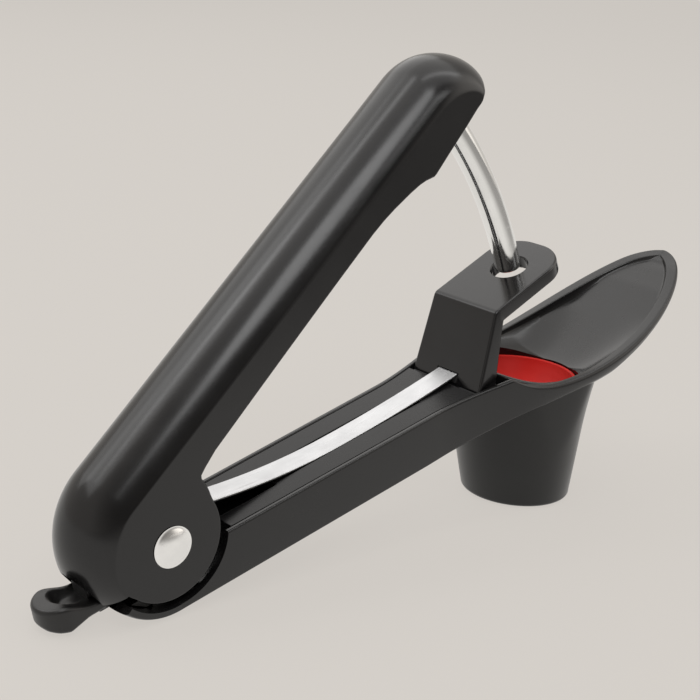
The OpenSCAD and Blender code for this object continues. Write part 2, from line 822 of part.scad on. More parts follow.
lower_arm();
deck_plate();
guide_bracket();
bracket_screws();
leaf_spring();
pit_cup();
cherry_seat();
pivot_pin();
pivot_cap();
pivot_washers();
pivot_sleeve();
handle_shell();
plunger_rod();
rod_set_screw();
lock_latch();
latch_screw();
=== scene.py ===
import bpy
import bmesh
from math import acos, atan2, copysign, cos, degrees, exp, hypot, pi, radians, sin, sqrt, tan
from mathutils import Matrix, Vector


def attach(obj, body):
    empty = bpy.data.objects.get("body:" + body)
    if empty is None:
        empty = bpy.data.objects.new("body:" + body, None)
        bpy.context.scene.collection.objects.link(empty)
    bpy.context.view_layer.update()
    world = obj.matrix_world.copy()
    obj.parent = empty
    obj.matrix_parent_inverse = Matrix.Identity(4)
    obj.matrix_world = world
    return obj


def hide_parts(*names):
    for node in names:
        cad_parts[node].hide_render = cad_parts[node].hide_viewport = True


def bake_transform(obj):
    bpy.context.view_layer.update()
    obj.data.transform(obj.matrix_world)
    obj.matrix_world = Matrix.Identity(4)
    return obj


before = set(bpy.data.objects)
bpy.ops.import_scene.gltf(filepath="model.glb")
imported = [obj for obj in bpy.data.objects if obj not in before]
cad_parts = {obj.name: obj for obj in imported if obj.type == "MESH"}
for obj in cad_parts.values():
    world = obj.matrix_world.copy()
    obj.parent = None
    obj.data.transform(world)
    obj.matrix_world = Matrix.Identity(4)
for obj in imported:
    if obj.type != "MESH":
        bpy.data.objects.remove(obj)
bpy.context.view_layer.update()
scene = bpy.context.scene
print("frame loaded:", len(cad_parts), "nodes")

# the arm frame has its origin on the pivot axis and x towards the scoop;
# lengths are millimetres and angles degrees unless said otherwise
stance = dict(tilt=14.4, pivotX=-62.2345, pivotZ=14.4, handleAngle=30.4)
millimetre = 0.001
quarter = pi / 2


def cosSin(deg):
    return cos(radians(deg)), sin(radians(deg))


tiltCos, tiltSin = cosSin(stance["tilt"])
openCos, openSin = cosSin(stance["handleAngle"])


def tablePoint(x, y, z):
    return Vector((x, y, z)) * millimetre


def armHeight(x, z):
    return x * tiltSin + z * tiltCos + stance["pivotZ"]


def armPoint(x, y, z):
    return tablePoint(x * tiltCos - z * tiltSin + stance["pivotX"], y, armHeight(x, z))


def handlePoint(s, y, u):
    return armPoint(s * openCos - u * openSin, y, s * openSin + u * openCos)


def toArm(x, z):
    dx, dz = x - stance["pivotX"], z - stance["pivotZ"]
    return dx * tiltCos + dz * tiltSin, -dx * tiltSin + dz * tiltCos


def ease(t):
    t = min(max(t, 0.0), 1.0)
    return t * t * (3 - 2 * t)


def ramp(x, start, run):
    return ease((x - start) / run)


def mix(a, b, t):
    return a + (b - a) * t


def along(table, x):
    # straight-line reading of a list of (x, value) pairs
    if x <= table[0][0]:
        return table[0][1]
    for (x0, v0), (x1, v1) in zip(table, table[1:]):
        if x <= x1:
            return mix(v0, v1, (x - x0) / max(x1 - x0, 1e-9))
    return table[-1][1]


def steps(a, b, n):
    return [a + (b - a) * i / n for i in range(n + 1)]


def arcSteps(cx, cy, r, fromDeg, toDeg, n):
    return [(cx + r * c, cy + r * s) for c, s in map(cosSin, steps(fromDeg, toDeg, n))]


def boxOutline(x0, z0, x1, z1):
    return [(x0, z0), (x1, z0), (x1, z1), (x0, z1)]


def roundedBox(half, low, high, r, n):
    # ring of (across, up) pairs round a box with rounded corners
    right, left, bottom, top = half - r, -half + r, low + r, high - r
    ring = []
    for y, v, turn in ((right, bottom, -90), (right, top, 0), (left, top, 90), (left, bottom, 180)):
        ring += arcSteps(y, v, r, turn, turn + 90, n)
    return ring


def drumProfile(r, low, high):
    # closed (radius, height) loop of a plain cylinder
    return [(0.0, low), (r, low), (r, high), (0.0, high)]


# mesh helpers
def addObject(name, data):
    added = bpy.data.objects.new(name, data)
    scene.collection.objects.link(added)
    return added


def newPiece(name, points, faces):
    mesh = bpy.data.meshes.new(name)
    mesh.from_pydata([tuple(p) for p in points], [], faces)
    piece = addObject(name, mesh)
    tidyNormals(piece)
    return piece


def tidyNormals(piece, weld=2e-7):
    bm = bmesh.new()
    bm.from_mesh(piece.data)
    bmesh.ops.remove_doubles(bm, verts=bm.verts, dist=weld)
    bmesh.ops.recalc_face_normals(bm, faces=bm.faces)
    bm.to_mesh(piece.data)
    bm.free()


def ringLoft(name, rings, closed=False):
    # skin over rings of equal length, capped unless the row of rings closes on itself
    n, count = len(rings[0]), len(rings)
    faces = []
    for i in range(count if closed else count - 1):
        a, b = i * n, (i + 1) % count * n
        faces += [(a + k, a + (k + 1) % n, b + (k + 1) % n, b + k) for k in range(n)]
    if not closed:
        faces.append(tuple(range(n - 1, -1, -1)))
        faces.append(tuple((count - 1) * n + k for k in range(n)))
    return newPiece(name, [p for ring in rings for p in ring], faces)


def stripFaces(count, n, first=0):
    # quads between neighbouring open rows of n points
    faces = []
    for i in range(count - 1):
        a, b = first + i * n, first + (i + 1) * n
        faces += [(a + k, a + k + 1, b + k + 1, b + k) for k in range(n - 1)]
    return faces


def openLoft(name, rows):
    # strips between open rows, closed by one face across their ends
    n, count = len(rows[0]), len(rows)
    faces = stripFaces(count, n)
    faces.append(tuple(i * n for i in range(count)) + tuple(i * n + n - 1 for i in range(count - 1, -1, -1)))
    return newPiece(name, [p for row in rows for p in row], faces)


def lathe(name, profile, place, turns=96):
    # profile is a closed loop of (radius, height); place turns (x, y, z) into a point
    circle = [cosSin(deg) for deg in steps(0, 360, turns)[:-1]]
    return ringLoft(name, [[place(r * c, r * s, h) for r, h in profile] for c, s in circle], closed=True)


def prism(name, outline, low, high, place):
    n = len(outline)
    points = [place(x, low, z) for x, z in outline] + [place(x, high, z) for x, z in outline]
    faces = [tuple(range(n)), tuple(range(2 * n - 1, n - 1, -1))]
    faces += [(k, (k + 1) % n, n + (k + 1) % n, n + k) for k in range(n)]
    return newPiece(name, points, faces)


def slab(name, outline, half, place=armPoint):
    return prism(name, outline, -half, half, place)


def bake(piece):
    bpy.context.view_layer.update()
    graph = bpy.context.evaluated_depsgraph_get()
    done = bpy.data.meshes.new_from_object(piece.evaluated_get(graph), depsgraph=graph)
    old, name = piece.data, piece.data.name
    piece.modifiers.clear()
    piece.data = done
    bpy.data.meshes.remove(old)
    done.name = name


def discard(piece):
    spent = piece.data
    bpy.data.objects.remove(piece)
    bpy.data.meshes.remove(spent)


def combine(piece, other, operation):
    step = piece.modifiers.new("combine", "BOOLEAN")
    step.operation = operation
    step.object = other
    step.solver = "EXACT"
    bake(piece)
    discard(other)


def cut(piece, other):
    combine(piece, other, "DIFFERENCE")


def roundEdges(piece, width, parts=3, angle=50):
    step = piece.modifiers.new("round", "BEVEL")
    step.width = width * millimetre
    step.segments = parts
    step.limit_method = "ANGLE"
    step.angle_limit = radians(angle)
    bake(piece)


def joinPieces(piece, others):
    bm = bmesh.new()
    bm.from_mesh(piece.data)
    for other in others:
        bm.from_mesh(other.data)
        discard(other)
    bm.to_mesh(piece.data)
    bm.free()


def smoothBy(piece, angle):
    for polygon in piece.data.polygons:
        polygon.use_smooth = True
    bm = bmesh.new()
    bm.from_mesh(piece.data)
    for edge in bm.edges:
        edge.smooth = len(edge.link_faces) == 2 and edge.calc_face_angle(0) < radians(angle)
    bm.to_mesh(piece.data)
    bm.free()
    step = piece.modifiers.new("flatFaces", "WEIGHTED_NORMAL")
    step.keep_sharp = True
    step.weight = 80
    bake(piece)


def settle(piece, body, material, nodes=(), angle=38):
    smoothBy(piece, angle)
    piece.data.materials.clear()
    piece.data.materials.append(material)
    if body:
        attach(piece, body)
    if nodes:
        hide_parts(*nodes)
    return piece


# shader helpers
floatKind = "NodeSocketFloat"
mixSockets = dict(first=6, second=7, result=2)  # places of the colour sockets in a Mix node


def newGroup(name, inputs, outputs):
    group = bpy.data.node_groups.new(name, "ShaderNodeTree")
    for label, value in inputs:
        socket = group.interface.new_socket(label, in_out="INPUT", socket_type=floatKind)
        socket.default_value = value
    for label in outputs:
        group.interface.new_socket(label, in_out="OUTPUT", socket_type=floatKind)
    return group, group.nodes.new("NodeGroupInput"), group.nodes.new("NodeGroupOutput")


def feed(tree, socket, source):
    # link an output to the socket, or set the socket to a constant
    if hasattr(source, "is_output"):
        tree.links.new(source, socket)
    else:
        socket.default_value = source


def addNode(tree, kind, **values):
    node = tree.nodes.new(kind)
    for key, value in values.items():
        if key.startswith("in_"):
            node.inputs[key[3:].replace("_", " ")].default_value = value
        else:
            setattr(node, key, value)
    return node


def addMath(tree, operation, first, second):
    node = addNode(tree, "ShaderNodeMath", operation=operation)
    feed(tree, node.inputs[0], first)
    feed(tree, node.inputs[1], second)
    return node.outputs[0]


def addMap(tree, source, fromLow, fromHigh, toLow=0.0, toHigh=1.0):
    node = addNode(tree, "ShaderNodeMapRange", in_From_Min=fromLow, in_From_Max=fromHigh)
    feed(tree, node.inputs["Value"], source)
    feed(tree, node.inputs["To Min"], toLow)
    feed(tree, node.inputs["To Max"], toHigh)
    return node.outputs["Result"]


def addNoise(tree, vector, scale, detail=3.0, rough=0.55):
    node = addNode(tree, "ShaderNodeTexNoise", in_Detail=detail, in_Roughness=rough)
    feed(tree, node.inputs["Scale"], scale)
    feed(tree, node.inputs["Vector"], vector)
    return node.outputs["Fac"]


def mixColour(tree, factor, first, second):
    node = addNode(tree, "ShaderNodeMix", data_type="RGBA")
    feed(tree, node.inputs["Factor"], factor)
    for label, value in (("first", first), ("second", second)):
        feed(tree, node.inputs[mixSockets[label]], value if hasattr(value, "is_output") else (*value, 1))
    return node.outputs[mixSockets["result"]]


def objectVector(tree, stretch=(1, 1, 1), turn=(0, 0, 0)):
    place = addNode(tree, "ShaderNodeTexCoord")
    mapping = addNode(tree, "ShaderNodeMapping", in_Scale=stretch, in_Rotation=turn)
    tree.links.new(place.outputs["Object"], mapping.inputs["Vector"])
    return mapping.outputs["Vector"]


def makeMouldGrain():
    # fine skin of a moulded part with faint flow variation
    tree, into, out = newGroup("mouldGrain", [("Fineness", 2600.0), ("Flow", 60.0)], ["Height", "Tone"])
    vector = objectVector(tree)
    fine = addNoise(tree, vector, into.outputs["Fineness"], 2.0)
    flow = addNoise(tree, vector, into.outputs["Flow"], 3.0)
    tree.links.new(fine, out.inputs["Height"])
    tree.links.new(addMap(tree, flow, 0.3, 0.7), out.inputs["Tone"])
    return tree


def makeHandMarks():
    # smudges where fingers touch, and hairline scratches
    tree, into, out = newGroup("handMarks", [("Smudge", 55.0), ("Hairline", 1.0)], ["Smear", "Scratch"])
    large = addNoise(tree, objectVector(tree), into.outputs["Smudge"], 4.0, 0.62)
    tree.links.new(addMap(tree, large, 0.46, 0.72), out.inputs["Smear"])
    lines = []
    for turn in ((0.3, 0.9, 0.4), (1.2, 0.2, 1.9)):
        line = addNoise(tree, objectVector(tree, (40, 2200, 900), turn), 1.0, 1.0, 0.4)
        lines.append(addMap(tree, line, 0.71, 0.76))
    both = addMath(tree, "MAXIMUM", *lines)
    tree.links.new(addMath(tree, "MULTIPLY", both, into.outputs["Hairline"]), out.inputs["Scratch"])
    return tree


def makeEdgeRub():
    # worn brightness along convex edges
    tree, into, out = newGroup("edgeRub", [("Sharpness", 0.56)], ["Mask"])
    shape = addNode(tree, "ShaderNodeNewGeometry")
    broken = addMap(tree, addNoise(tree, objectVector(tree), 420.0, 3.0), 0.35, 0.7, 0.2, 1.0)
    edge = addMath(tree, "SUBTRACT", shape.outputs["Pointiness"], into.outputs["Sharpness"])
    edge = addMap(tree, edge, 0.0, 0.08)
    tree.links.new(addMath(tree, "MULTIPLY", edge, broken), out.inputs["Mask"])
    return tree


def makeDrawLines():
    # drawing and polishing lines in steel
    tree, into, out = newGroup("drawLines", [("Fineness", 900.0)], ["Height", "Tone"])
    vector = objectVector(tree, (0.05, 1.0, 0.05), (0, radians(stance["tilt"]), 0))
    line = addNoise(tree, vector, into.outputs["Fineness"], 4.0, 0.7)
    patch = addNoise(tree, objectVector(tree), 90.0, 3.0)
    tree.links.new(line, out.inputs["Height"])
    tree.links.new(addMap(tree, patch, 0.3, 0.7), out.inputs["Tone"])
    return tree


mouldGrain, handMarks, edgeRub, drawLines = makeMouldGrain(), makeHandMarks(), makeEdgeRub(), makeDrawLines()


def placeGroup(tree, group, **values):
    node = tree.nodes.new("ShaderNodeGroup")
    node.node_tree = group
    for key, value in values.items():
        node.inputs[key].default_value = value
    return node


def startMaterial(name):
    material = bpy.data.materials.new(name)
    material.use_nodes = True
    tree = material.node_tree
    return material, tree, tree.nodes["Principled BSDF"]


def addBump(tree, shader, height, strength):
    bump = addNode(tree, "ShaderNodeBump", in_Strength=strength, in_Distance=0.02 * millimetre)
    tree.links.new(height, bump.inputs["Height"])
    tree.links.new(bump.outputs["Normal"], shader.inputs["Normal"])


# what all plastics and all steels have in common; each look below adds its own values or overrides these
plasticLook = dict(grain=mouldGrain, smudge=55.0, hairline=0.25, dust=0.25, rub=0.55, metallic=0.0, specular=0.5,
                   roughBy="Tone", roughRange=(0.0, 1.0), roughSpread=0.03, scratchRough=0.12, scratchDepth=0.5)
steelLook = dict(grain=drawLines, smudge=80.0, hairline=1.0, dust=0.3, metallic=1.0, specular=0.5,
                 roughBy="Height", roughRange=(0.3, 0.7), smearRough=0.05, scratchRough=0.1, scratchDepth=0.0)


def surface(name, shared, **own):
    look = {**shared, **own}
    material, tree, shader = startMaterial(name)
    grain = placeGroup(tree, look["grain"], Fineness=look["fineness"])
    marks = placeGroup(tree, handMarks, Smudge=look["smudge"], Hairline=look["hairline"])
    smear, scratch = marks.outputs["Smear"], marks.outputs["Scratch"]
    base = mixColour(tree, grain.outputs["Tone"], look["dark"], look["light"])
    base = mixColour(tree, addMath(tree, "MULTIPLY", smear, look["dust"]), base, look["film"])
    if "worn" in look:
        rubbed = addMath(tree, "MULTIPLY", placeGroup(tree, edgeRub).outputs["Mask"], look["rub"])
        base = mixColour(tree, rubbed, base, look["worn"])
    tree.links.new(base, shader.inputs["Base Color"])
    rough, spread = look["rough"], look["roughSpread"]
    rough = addMap(tree, grain.outputs[look["roughBy"]], *look["roughRange"], rough, rough + spread)
    for mark, share in ((smear, "smearRough"), (scratch, "scratchRough")):
        rough = addMath(tree, "ADD", rough, addMath(tree, "MULTIPLY", mark, look[share]))
    tree.links.new(rough, shader.inputs["Roughness"])
    groove = addMath(tree, "MULTIPLY", scratch, look["scratchDepth"])
    addBump(tree, shader, addMath(tree, "SUBTRACT", grain.outputs["Height"], groove), look["bump"])
    shader.inputs["Metallic"].default_value = look["metallic"]
    shader.inputs["Specular IOR Level"].default_value = look["specular"]
    return material


handleBlack = surface(
    "handleBlack", plasticLook, dark=(0.0034, 0.0031, 0.0034), light=(0.0052, 0.0049, 0.0052),
    film=(0.012, 0.0116, 0.012), worn=(0.02, 0.0195, 0.02),
    rough=0.19, smearRough=0.04, bump=0.05, fineness=2600.0)
armBlack = surface(
    "armBlack", plasticLook, dark=(0.0046, 0.0044, 0.0046), light=(0.0066, 0.0064, 0.0066),
    film=(0.014, 0.0136, 0.014), worn=(0.022, 0.0215, 0.022),
    rough=0.22, smearRough=0.06, bump=0.06, fineness=2400.0)
deckBlack = surface(
    "deckBlack", plasticLook, dark=(0.0056, 0.0054, 0.0058), light=(0.0082, 0.008, 0.0084),
    film=(0.016, 0.0156, 0.0165), worn=(0.024, 0.0235, 0.024),
    rough=0.24, smearRough=0.06, bump=0.04, fineness=2800.0, smudge=80.0, specular=0.22)
bracketBlack = surface(
    "bracketBlack", plasticLook, dark=(0.0062, 0.0058, 0.0064), light=(0.0086, 0.0082, 0.0088),
    film=(0.016, 0.0156, 0.0165), worn=(0.03, 0.0295, 0.03),
    rough=0.15, smearRough=0.05, bump=0.06, fineness=2200.0, smudge=90.0)
cupBlack = surface(
    "cupBlack", plasticLook, dark=(0.0042, 0.0041, 0.004), light=(0.0064, 0.0062, 0.006),
    film=(0.014, 0.014, 0.0135), worn=(0.022, 0.0215, 0.021),
    rough=0.28, smearRough=0.05, bump=0.1, fineness=2000.0, specular=0.42)
latchBlack = surface(
    "latchBlack", plasticLook, dark=(0.005, 0.0046, 0.0045), light=(0.0078, 0.0073, 0.0072),
    film=(0.018, 0.017, 0.0165), worn=(0.03, 0.0285, 0.0275),
    rough=0.34, smearRough=0.08, bump=0.12, fineness=1800.0, smudge=180.0)
seatRed = surface(
    "seatRed", plasticLook, dark=(0.5, 0.011, 0.007), light=(0.6, 0.016, 0.0105),
    film=(0.5, 0.03, 0.02), worn=(0.6, 0.04, 0.026),
    rough=0.46, smearRough=0.08, bump=0.15, fineness=1500.0, dust=0.2, smudge=120.0, hairline=0.2, specular=0.16)
rodSteel = surface(
    "rodSteel", steelLook, dark=(0.78, 0.78, 0.765), light=(0.88, 0.88, 0.865), film=(0.7, 0.7, 0.68),
    rough=0.1, roughSpread=0.06, bump=0.06, fineness=1600.0)
pinSteel = surface(
    "pinSteel", steelLook, dark=(0.86, 0.855, 0.84), light=(0.93, 0.925, 0.91), film=(0.76, 0.75, 0.74),
    rough=0.14, roughSpread=0.06, bump=0.06, fineness=1200.0, smudge=260.0)
springSteel = surface(
    "springSteel", steelLook, dark=(0.5, 0.505, 0.515), light=(0.58, 0.585, 0.595), film=(0.44, 0.445, 0.455),
    rough=0.24, roughSpread=0.14, bump=0.25, fineness=2600.0, smudge=110.0)
fastenerSteel = surface(
    "fastenerSteel", steelLook, dark=(0.5, 0.5, 0.5), light=(0.6, 0.6, 0.6), film=(0.4, 0.4, 0.4),
    rough=0.25, roughSpread=0.1, bump=0.12, fineness=1400.0)
print("materials made")

# handle: crowned back over flat cheeks, lofted round the hub, along the bar and over the tip
handleForm = dict(
    half=9.1, back=18.2, crown=5.8, bulge=(0.5, 0.95), hub=11.4, hubLift=0.7, hubTurn=(-9, -174),
    rearTurn=88.5, rearEdge=12.4, rearEdgeRamp=(110, 60), rimRound=0.45,
    tipFrom=78, tipCrest=(96.8, 6.5), tipRound=12.0, tipPush=0.9, tipPushPower=6,
    tipEdge=(94.5, 5.9), tipEdgeRun=10.4, tipEnd=4, tipSoft=3.0, tipUnder=((0.2, 0.5), (0.8, 0.85)),
    soft=[(0, 1.0), (25, 1.4), (60, 2.6), (90, 3.8), (97, 4.2)],
    low=[(11.5, -0.3), (12.0, 1.0), (12.4, 2.4), (12.6, 4.1), (13.0, 4.65), (14.6, 5.05), (18, 5.6), (30, 5.95),
         (43, 6.3), (56, 6.6), (68, 6.8), (71.6, 6.65), (74.7, 6.3), (79.4, 5.5), (82, 4.9), (83.6, 4.3),
         (85.5, 3.25), (86.3, 3.2), (91, 3.75), (97, 4.35), (101.6, 4.95)])


def crownSection(edge, crest, fillet):
    # one arc from cheek to cheek with a round where it meets them
    half = handleForm["half"]
    h = hypot(crest[0] - edge[0], crest[1] - edge[1])
    d = ((crest[0] - edge[0]) / h, (crest[1] - edge[1]) / h)
    r = (half * half + h * h) / (2 * h)
    mid = h - r
    filletV = mid + sqrt(max((r - fillet) ** 2 - (half - fillet) ** 2, 0))
    lean = atan2(half - fillet, filletV - mid)
    profile = [(half - fillet + fillet * cos(a), filletV + fillet * sin(a)) for a in steps(0, quarter - lean, 7)]
    profile += [(r * sin(a), mid + r * cos(a)) for a in steps(lean, 0, 14)][1:]
    whole = profile + [(-y, v) for y, v in reversed(profile[:-1])]
    return [(edge[0] + d[0] * v, y, edge[1] + d[1] * v) for y, v in whole]


def handlePath():
    # stations of (cheek edge, crest, round) from the rear, along the bar and over the tip
    f = handleForm
    bx, bu = f["bulge"]
    edgeR, crestR = f["back"] - f["crown"] - bu, f["back"] - bu
    path = []
    for deg in steps(90 + f["rearTurn"], 90, 34)[:-1]:
        c, s = cosSin(deg)
        edgeHere = mix(edgeR, f["rearEdge"], ramp(deg, *f["rearEdgeRamp"]))
        path.append(((bx + edgeHere * c, bu + edgeHere * s), (bx + crestR * c, bu + crestR * s), f["soft"][0][1]))
    tx, tu = f["tipCrest"]
    ex, eu = f["tipEdge"]
    for s in steps(bx, tx, 34)[:-1]:
        lag = (tx - ex) * ramp(s, f["tipFrom"], tx - f["tipFrom"])
        path.append(((s - lag, bu + edgeR), (s, f["back"]), along(f["soft"], s)))
    for deg in steps(90, f["tipEnd"], 26):
        c, s = cosSin(deg)
        edge = (ex + f["tipEdgeRun"] * c, eu + (bu + edgeR - eu) * s)
        push = f["tipPush"] * c ** f["tipPushPower"]
        crest = (tx + f["tipRound"] * c + push, tu + (f["back"] - tu) * s)
        path.append((edge, crest, mix(f["soft"][-1][1], f["tipSoft"], (90 - deg) / (90 - f["tipEnd"]))))
    edge, crest, fillet = path[-1]
    for inset, drop in f["tipUnder"]:
        path.append(((edge[0] - inset, edge[1] - drop), (crest[0] - inset, crest[1] - drop), fillet))
    return path


def buildHandle():
    half, rim = handleForm["half"], handleForm["rimRound"]
    sections = [crownSection(*station) for station in handlePath()]
    n = len(sections[0])
    points = [p for section in sections for p in section]
    faces = stripFaces(len(sections), n)
    # lower outline, from the tip back to the hub and round it to the rear
    start, finish = sections[-1][0], sections[0][0]
    low = [(start[0], start[2])] + list(reversed(handleForm["low"]))
    low += arcSteps(0, handleForm["hubLift"], handleForm["hub"], *handleForm["hubTurn"], 44)
    low += [(finish[0], finish[2])]
    rows = []
    for i, (s, u) in enumerate(low):
        before, after = low[max(i - 1, 0)], low[min(i + 1, len(low) - 1)]
        ds, du = after[0] - before[0], after[1] - before[1]
        out = (-du / hypot(ds, du), ds / hypot(ds, du))  # away from the material
        here = rim if 0 < i < len(low) - 1 else 0.0
        row = []
        for a in steps(0, quarter, 4):
            back = here * (1 - sin(a))
            row.append((s - out[0] * back, half - here * (1 - cos(a)), u - out[1] * back))
        rows.append(row + [(p[0], -p[1], p[2]) for p in reversed(row)])
    m, first = len(rows[0]), len(points)
    points += [p for row in rows for p in row]
    faces += stripFaces(len(rows), m, first)
    # end faces under the crown at the tip and at the rear
    faces.append(tuple((len(sections) - 1) * n + k for k in range(n)) + (first + m - 1, first))
    last = first + (len(rows) - 1) * m
    faces.append(tuple(range(n)) + (last + m - 1, last))
    # cheeks
    for column, edgeColumn in ((0, 0), (m - 1, n - 1)):
        upper = tuple(i * n + edgeColumn for i in range(len(sections)))
        faces.append(upper + tuple(first + i * m + column for i in range(len(rows))))
    return newPiece("upperHandle", [handlePoint(*p) for p in points], faces)


# hollow between the cheeks, up to the block that holds the rod
cavityForm = dict(half=6.9, top=13.2, front=92.0, corner=1.5, over=0.6, turn=(88, 190), clear=-26.0, rearLow=-2.0)


def cavityOutline():
    f = cavityForm
    r = handleForm["back"] - handleForm["crown"] - handleForm["bulge"][1] + f["over"]
    outline = [(f["front"], f["clear"]), (f["front"], f["top"] - f["corner"]), (f["front"] - f["corner"], f["top"])]
    outline += arcSteps(*handleForm["bulge"], r, *f["turn"], 30)
    return outline + [(f["clear"], f["rearLow"]), (f["clear"], f["clear"])]


# arch in the rear wall, which the latch slides through
archForm = dict(half=5.3, top=-6.0, low=-22.0, rear=-30.0, front=-8.0)


def archCut():
    f = archForm
    outline = [(-f["half"], f["low"]), (f["half"], f["low"])] + arcSteps(0, f["top"], f["half"], 0, 180, 24)
    return prism("arch", outline, f["rear"], f["front"], lambda y, x, z: armPoint(x, y, z))


# ribs between the cheeks: one presses on the spring, the latch's finger goes behind the other
ribForm = dict(half=7.1, springAt=(8.8, 2.3), springR=0.9, springTop=2.2,
               keeperTurn=216, keeperR=9.5, keeperHalf=(0.6, 0.5))


def ribBar(name, x, z, outline, turn=0.0):
    c, s = cosSin(turn)
    placed = [(x + p * c - q * s, z + p * s + q * c) for p, q in outline]
    return slab(name, placed, ribForm["half"])


def handleRibs():
    f = ribForm
    r, top = f["springR"], f["springTop"]
    springRib = ribBar("springRib", *f["springAt"], arcSteps(0, 0, r, 180, 360, 10) + [(r, top), (-r, top)])
    c, s = cosSin(f["keeperTurn"])
    p, q = f["keeperHalf"]
    keeper = ribBar("keeper", f["keeperR"] * c, f["keeperR"] * s, boxOutline(-p, -q, p, q), f["keeperTurn"])
    return [springRib, keeper]


upperHandle = buildHandle()
cut(upperHandle, slab("cavity", cavityOutline(), cavityForm["half"], handlePoint))
cut(upperHandle, archCut())
joinPieces(upperHandle, handleRibs())
settle(upperHandle, "handle", handleBlack, ["handle_shell"], 34)
print("handle built:", len(upperHandle.data.polygons), "faces")

# arm and scoop: one loft from the hub to the scoop's tip
armForm = dict(
    halfRear=9.3, drift=0.009, flare=2.6, flareRamp=(65.5, 24.0), rim=-3.0, rimRound=0.45, innerRound=0.35,
    belly=-14.4, bellyTo=76.0, footIn=0.2, footInFrom=3, leastSide=0.05, channelZ=-5.8, channelRamp=(82, 4),
    channelWall=0.05, channelBend=14.0, well=12.3, wellHalf=14, pocketZ=-12.2, pocketTo=13.3, slotTo=32.2, slotHalf=3.8,
    heelBack=0.8, heelHalf=9.18, heelTurn=(217.8, 270.8), heelSliver=0.05,
    sideFoot=[(0, -13.3), (62, -13.28), (66, -13.15), (70, -12.92), (74, -12.58), (78, -12.2), (82, -11.9),
              (86, -11.7), (90, -11.55), (94, -11.45), (98, -11.4), (102, -11.45), (106, -11.5), (110, -11.5),
              (114, -11.2)],
    scoopRamp=(106, 8), sideH=[(112, 1.7), (120, 1.4), (130, 1.3)],
    bulk=[(78, 2.4), (88, 1.7), (118, 1.7), (136, 2.0)])
scoopForm = dict(
    a=36.4, b=16.2, centre=48.8905, dip=31.8905, rearX=21.2, rimLow=30.0, tipRise=20.6, tipHalf=0.25, rise=1.7,
    rearRun=10.7, rearStretch=1.2, blendFrom=66.0, blendTo=96.0, uprightRamp=(112.0, 20.0),
    lipH=2.2, lipRise=0.4, lipRiseRun=8, lipFallRun=6, lipRound=0.9, lipRoundRun=6,
    lipW=[(80, 1.2), (92, 1.6), (106, 1.9), (118, 2.6), (130, 2.9)],
    stepH=[(80, 0.9), (92, 1.2), (106, 1.3), (118, 1.8), (130, 2.0)],
    wallRun=0.4, bend=3.0, skin=0.9, skinFrom=88, seatX=36.8905, bore=13.3, boreSpan=(10.0, 36.0), edgeH=28.1,
    underFrom=(52.2, 26.0), underEnd=0.35, underCurve=1.1, underRear=[(85.0, -14.1), (95.0, -15.15), (105.0, -16.25)],
    bowlRamp=(80, 12), bowlLap=0.5, bowlEnd=0.3, bowlDrop=1.7, bowlCurve=1.15, bowlLeast=0.9, bowlClose=2.5,
    bowlRear=[(84.0, -6.2), (86.5, -7.3), (89.0, -8.2)], bowlLevel=(28.0, 34.0, 42.0))


def seatPoint(x, y, z):
    # upright on the table, about the middle of the seat
    return tablePoint(scoopForm["seatX"] + x, y, z)


def armHalf(x):
    f = armForm
    return f["halfRear"] + f["drift"] * x + f["flare"] * ramp(x, *f["flareRamp"])


def scoopTables():
    # rim width and height, underside and bowl, read against the arm's own length
    f = scoopForm
    tip, tipH = f["centre"] + f["a"], f["rimLow"] + f["tipRise"]
    reach = f["dip"] - f["rearRun"] - stance["pivotX"]
    rearRise = reach * tiltSin / tiltCos + armForm["rim"] / tiltCos + stance["pivotZ"] - f["rimLow"]
    width, rim, under, bowl = [], [], [], []
    for t in steps(0, 1, 240):
        x = f["rearX"] + (tip - f["rearX"]) * sin(quarter * t)
        if x > f["dip"]:
            z = f["rimLow"] + f["tipRise"] * ((x - f["dip"]) / (tip - f["dip"])) ** f["rise"]
        else:
            z = f["rimLow"] + rearRise * ((f["dip"] - x) / f["rearRun"]) ** 2
        c = (x - f["centre"]) / (f["a"] * (f["rearStretch"] if x < f["centre"] else 1))
        ax, az = toArm(x, z)
        width.append((ax, f["b"] * sqrt(max(1 - c * c, 0))))
        rim.append((ax, az))
    underX, underH = f["underFrom"]
    bowlX, bowlTip = f["seatX"] + f["bore"] - f["bowlLap"], tip - f["lipW"][-1][1] - f["bowlEnd"]
    for t in steps(0, 1, 80):
        underZ = mix(underH, tipH - f["lipH"], t ** f["underCurve"])
        under.append(toArm(mix(underX, tip - f["underEnd"], t), underZ))
        bowlZ = mix(f["edgeH"], tipH - f["bowlDrop"], t ** f["bowlCurve"])
        bowl.append(toArm(mix(bowlX, bowlTip, t), bowlZ))
    # behind these the underside follows the cup's top, and the bowl stays level with the seat's edge
    under = [(armForm["bellyTo"], armForm["belly"])] + f["underRear"] + under
    bowl = f["bowlRear"] + [toArm(x, f["edgeH"]) for x in f["bowlLevel"]] + bowl
    return width, rim, under, bowl


rimWidth, rimHeight, underLine, bowlLine = scoopTables()
tipX, joinX = rimWidth[-1][0], rimWidth[0][0]
joinH = armHeight(joinX, rimHeight[0][1])


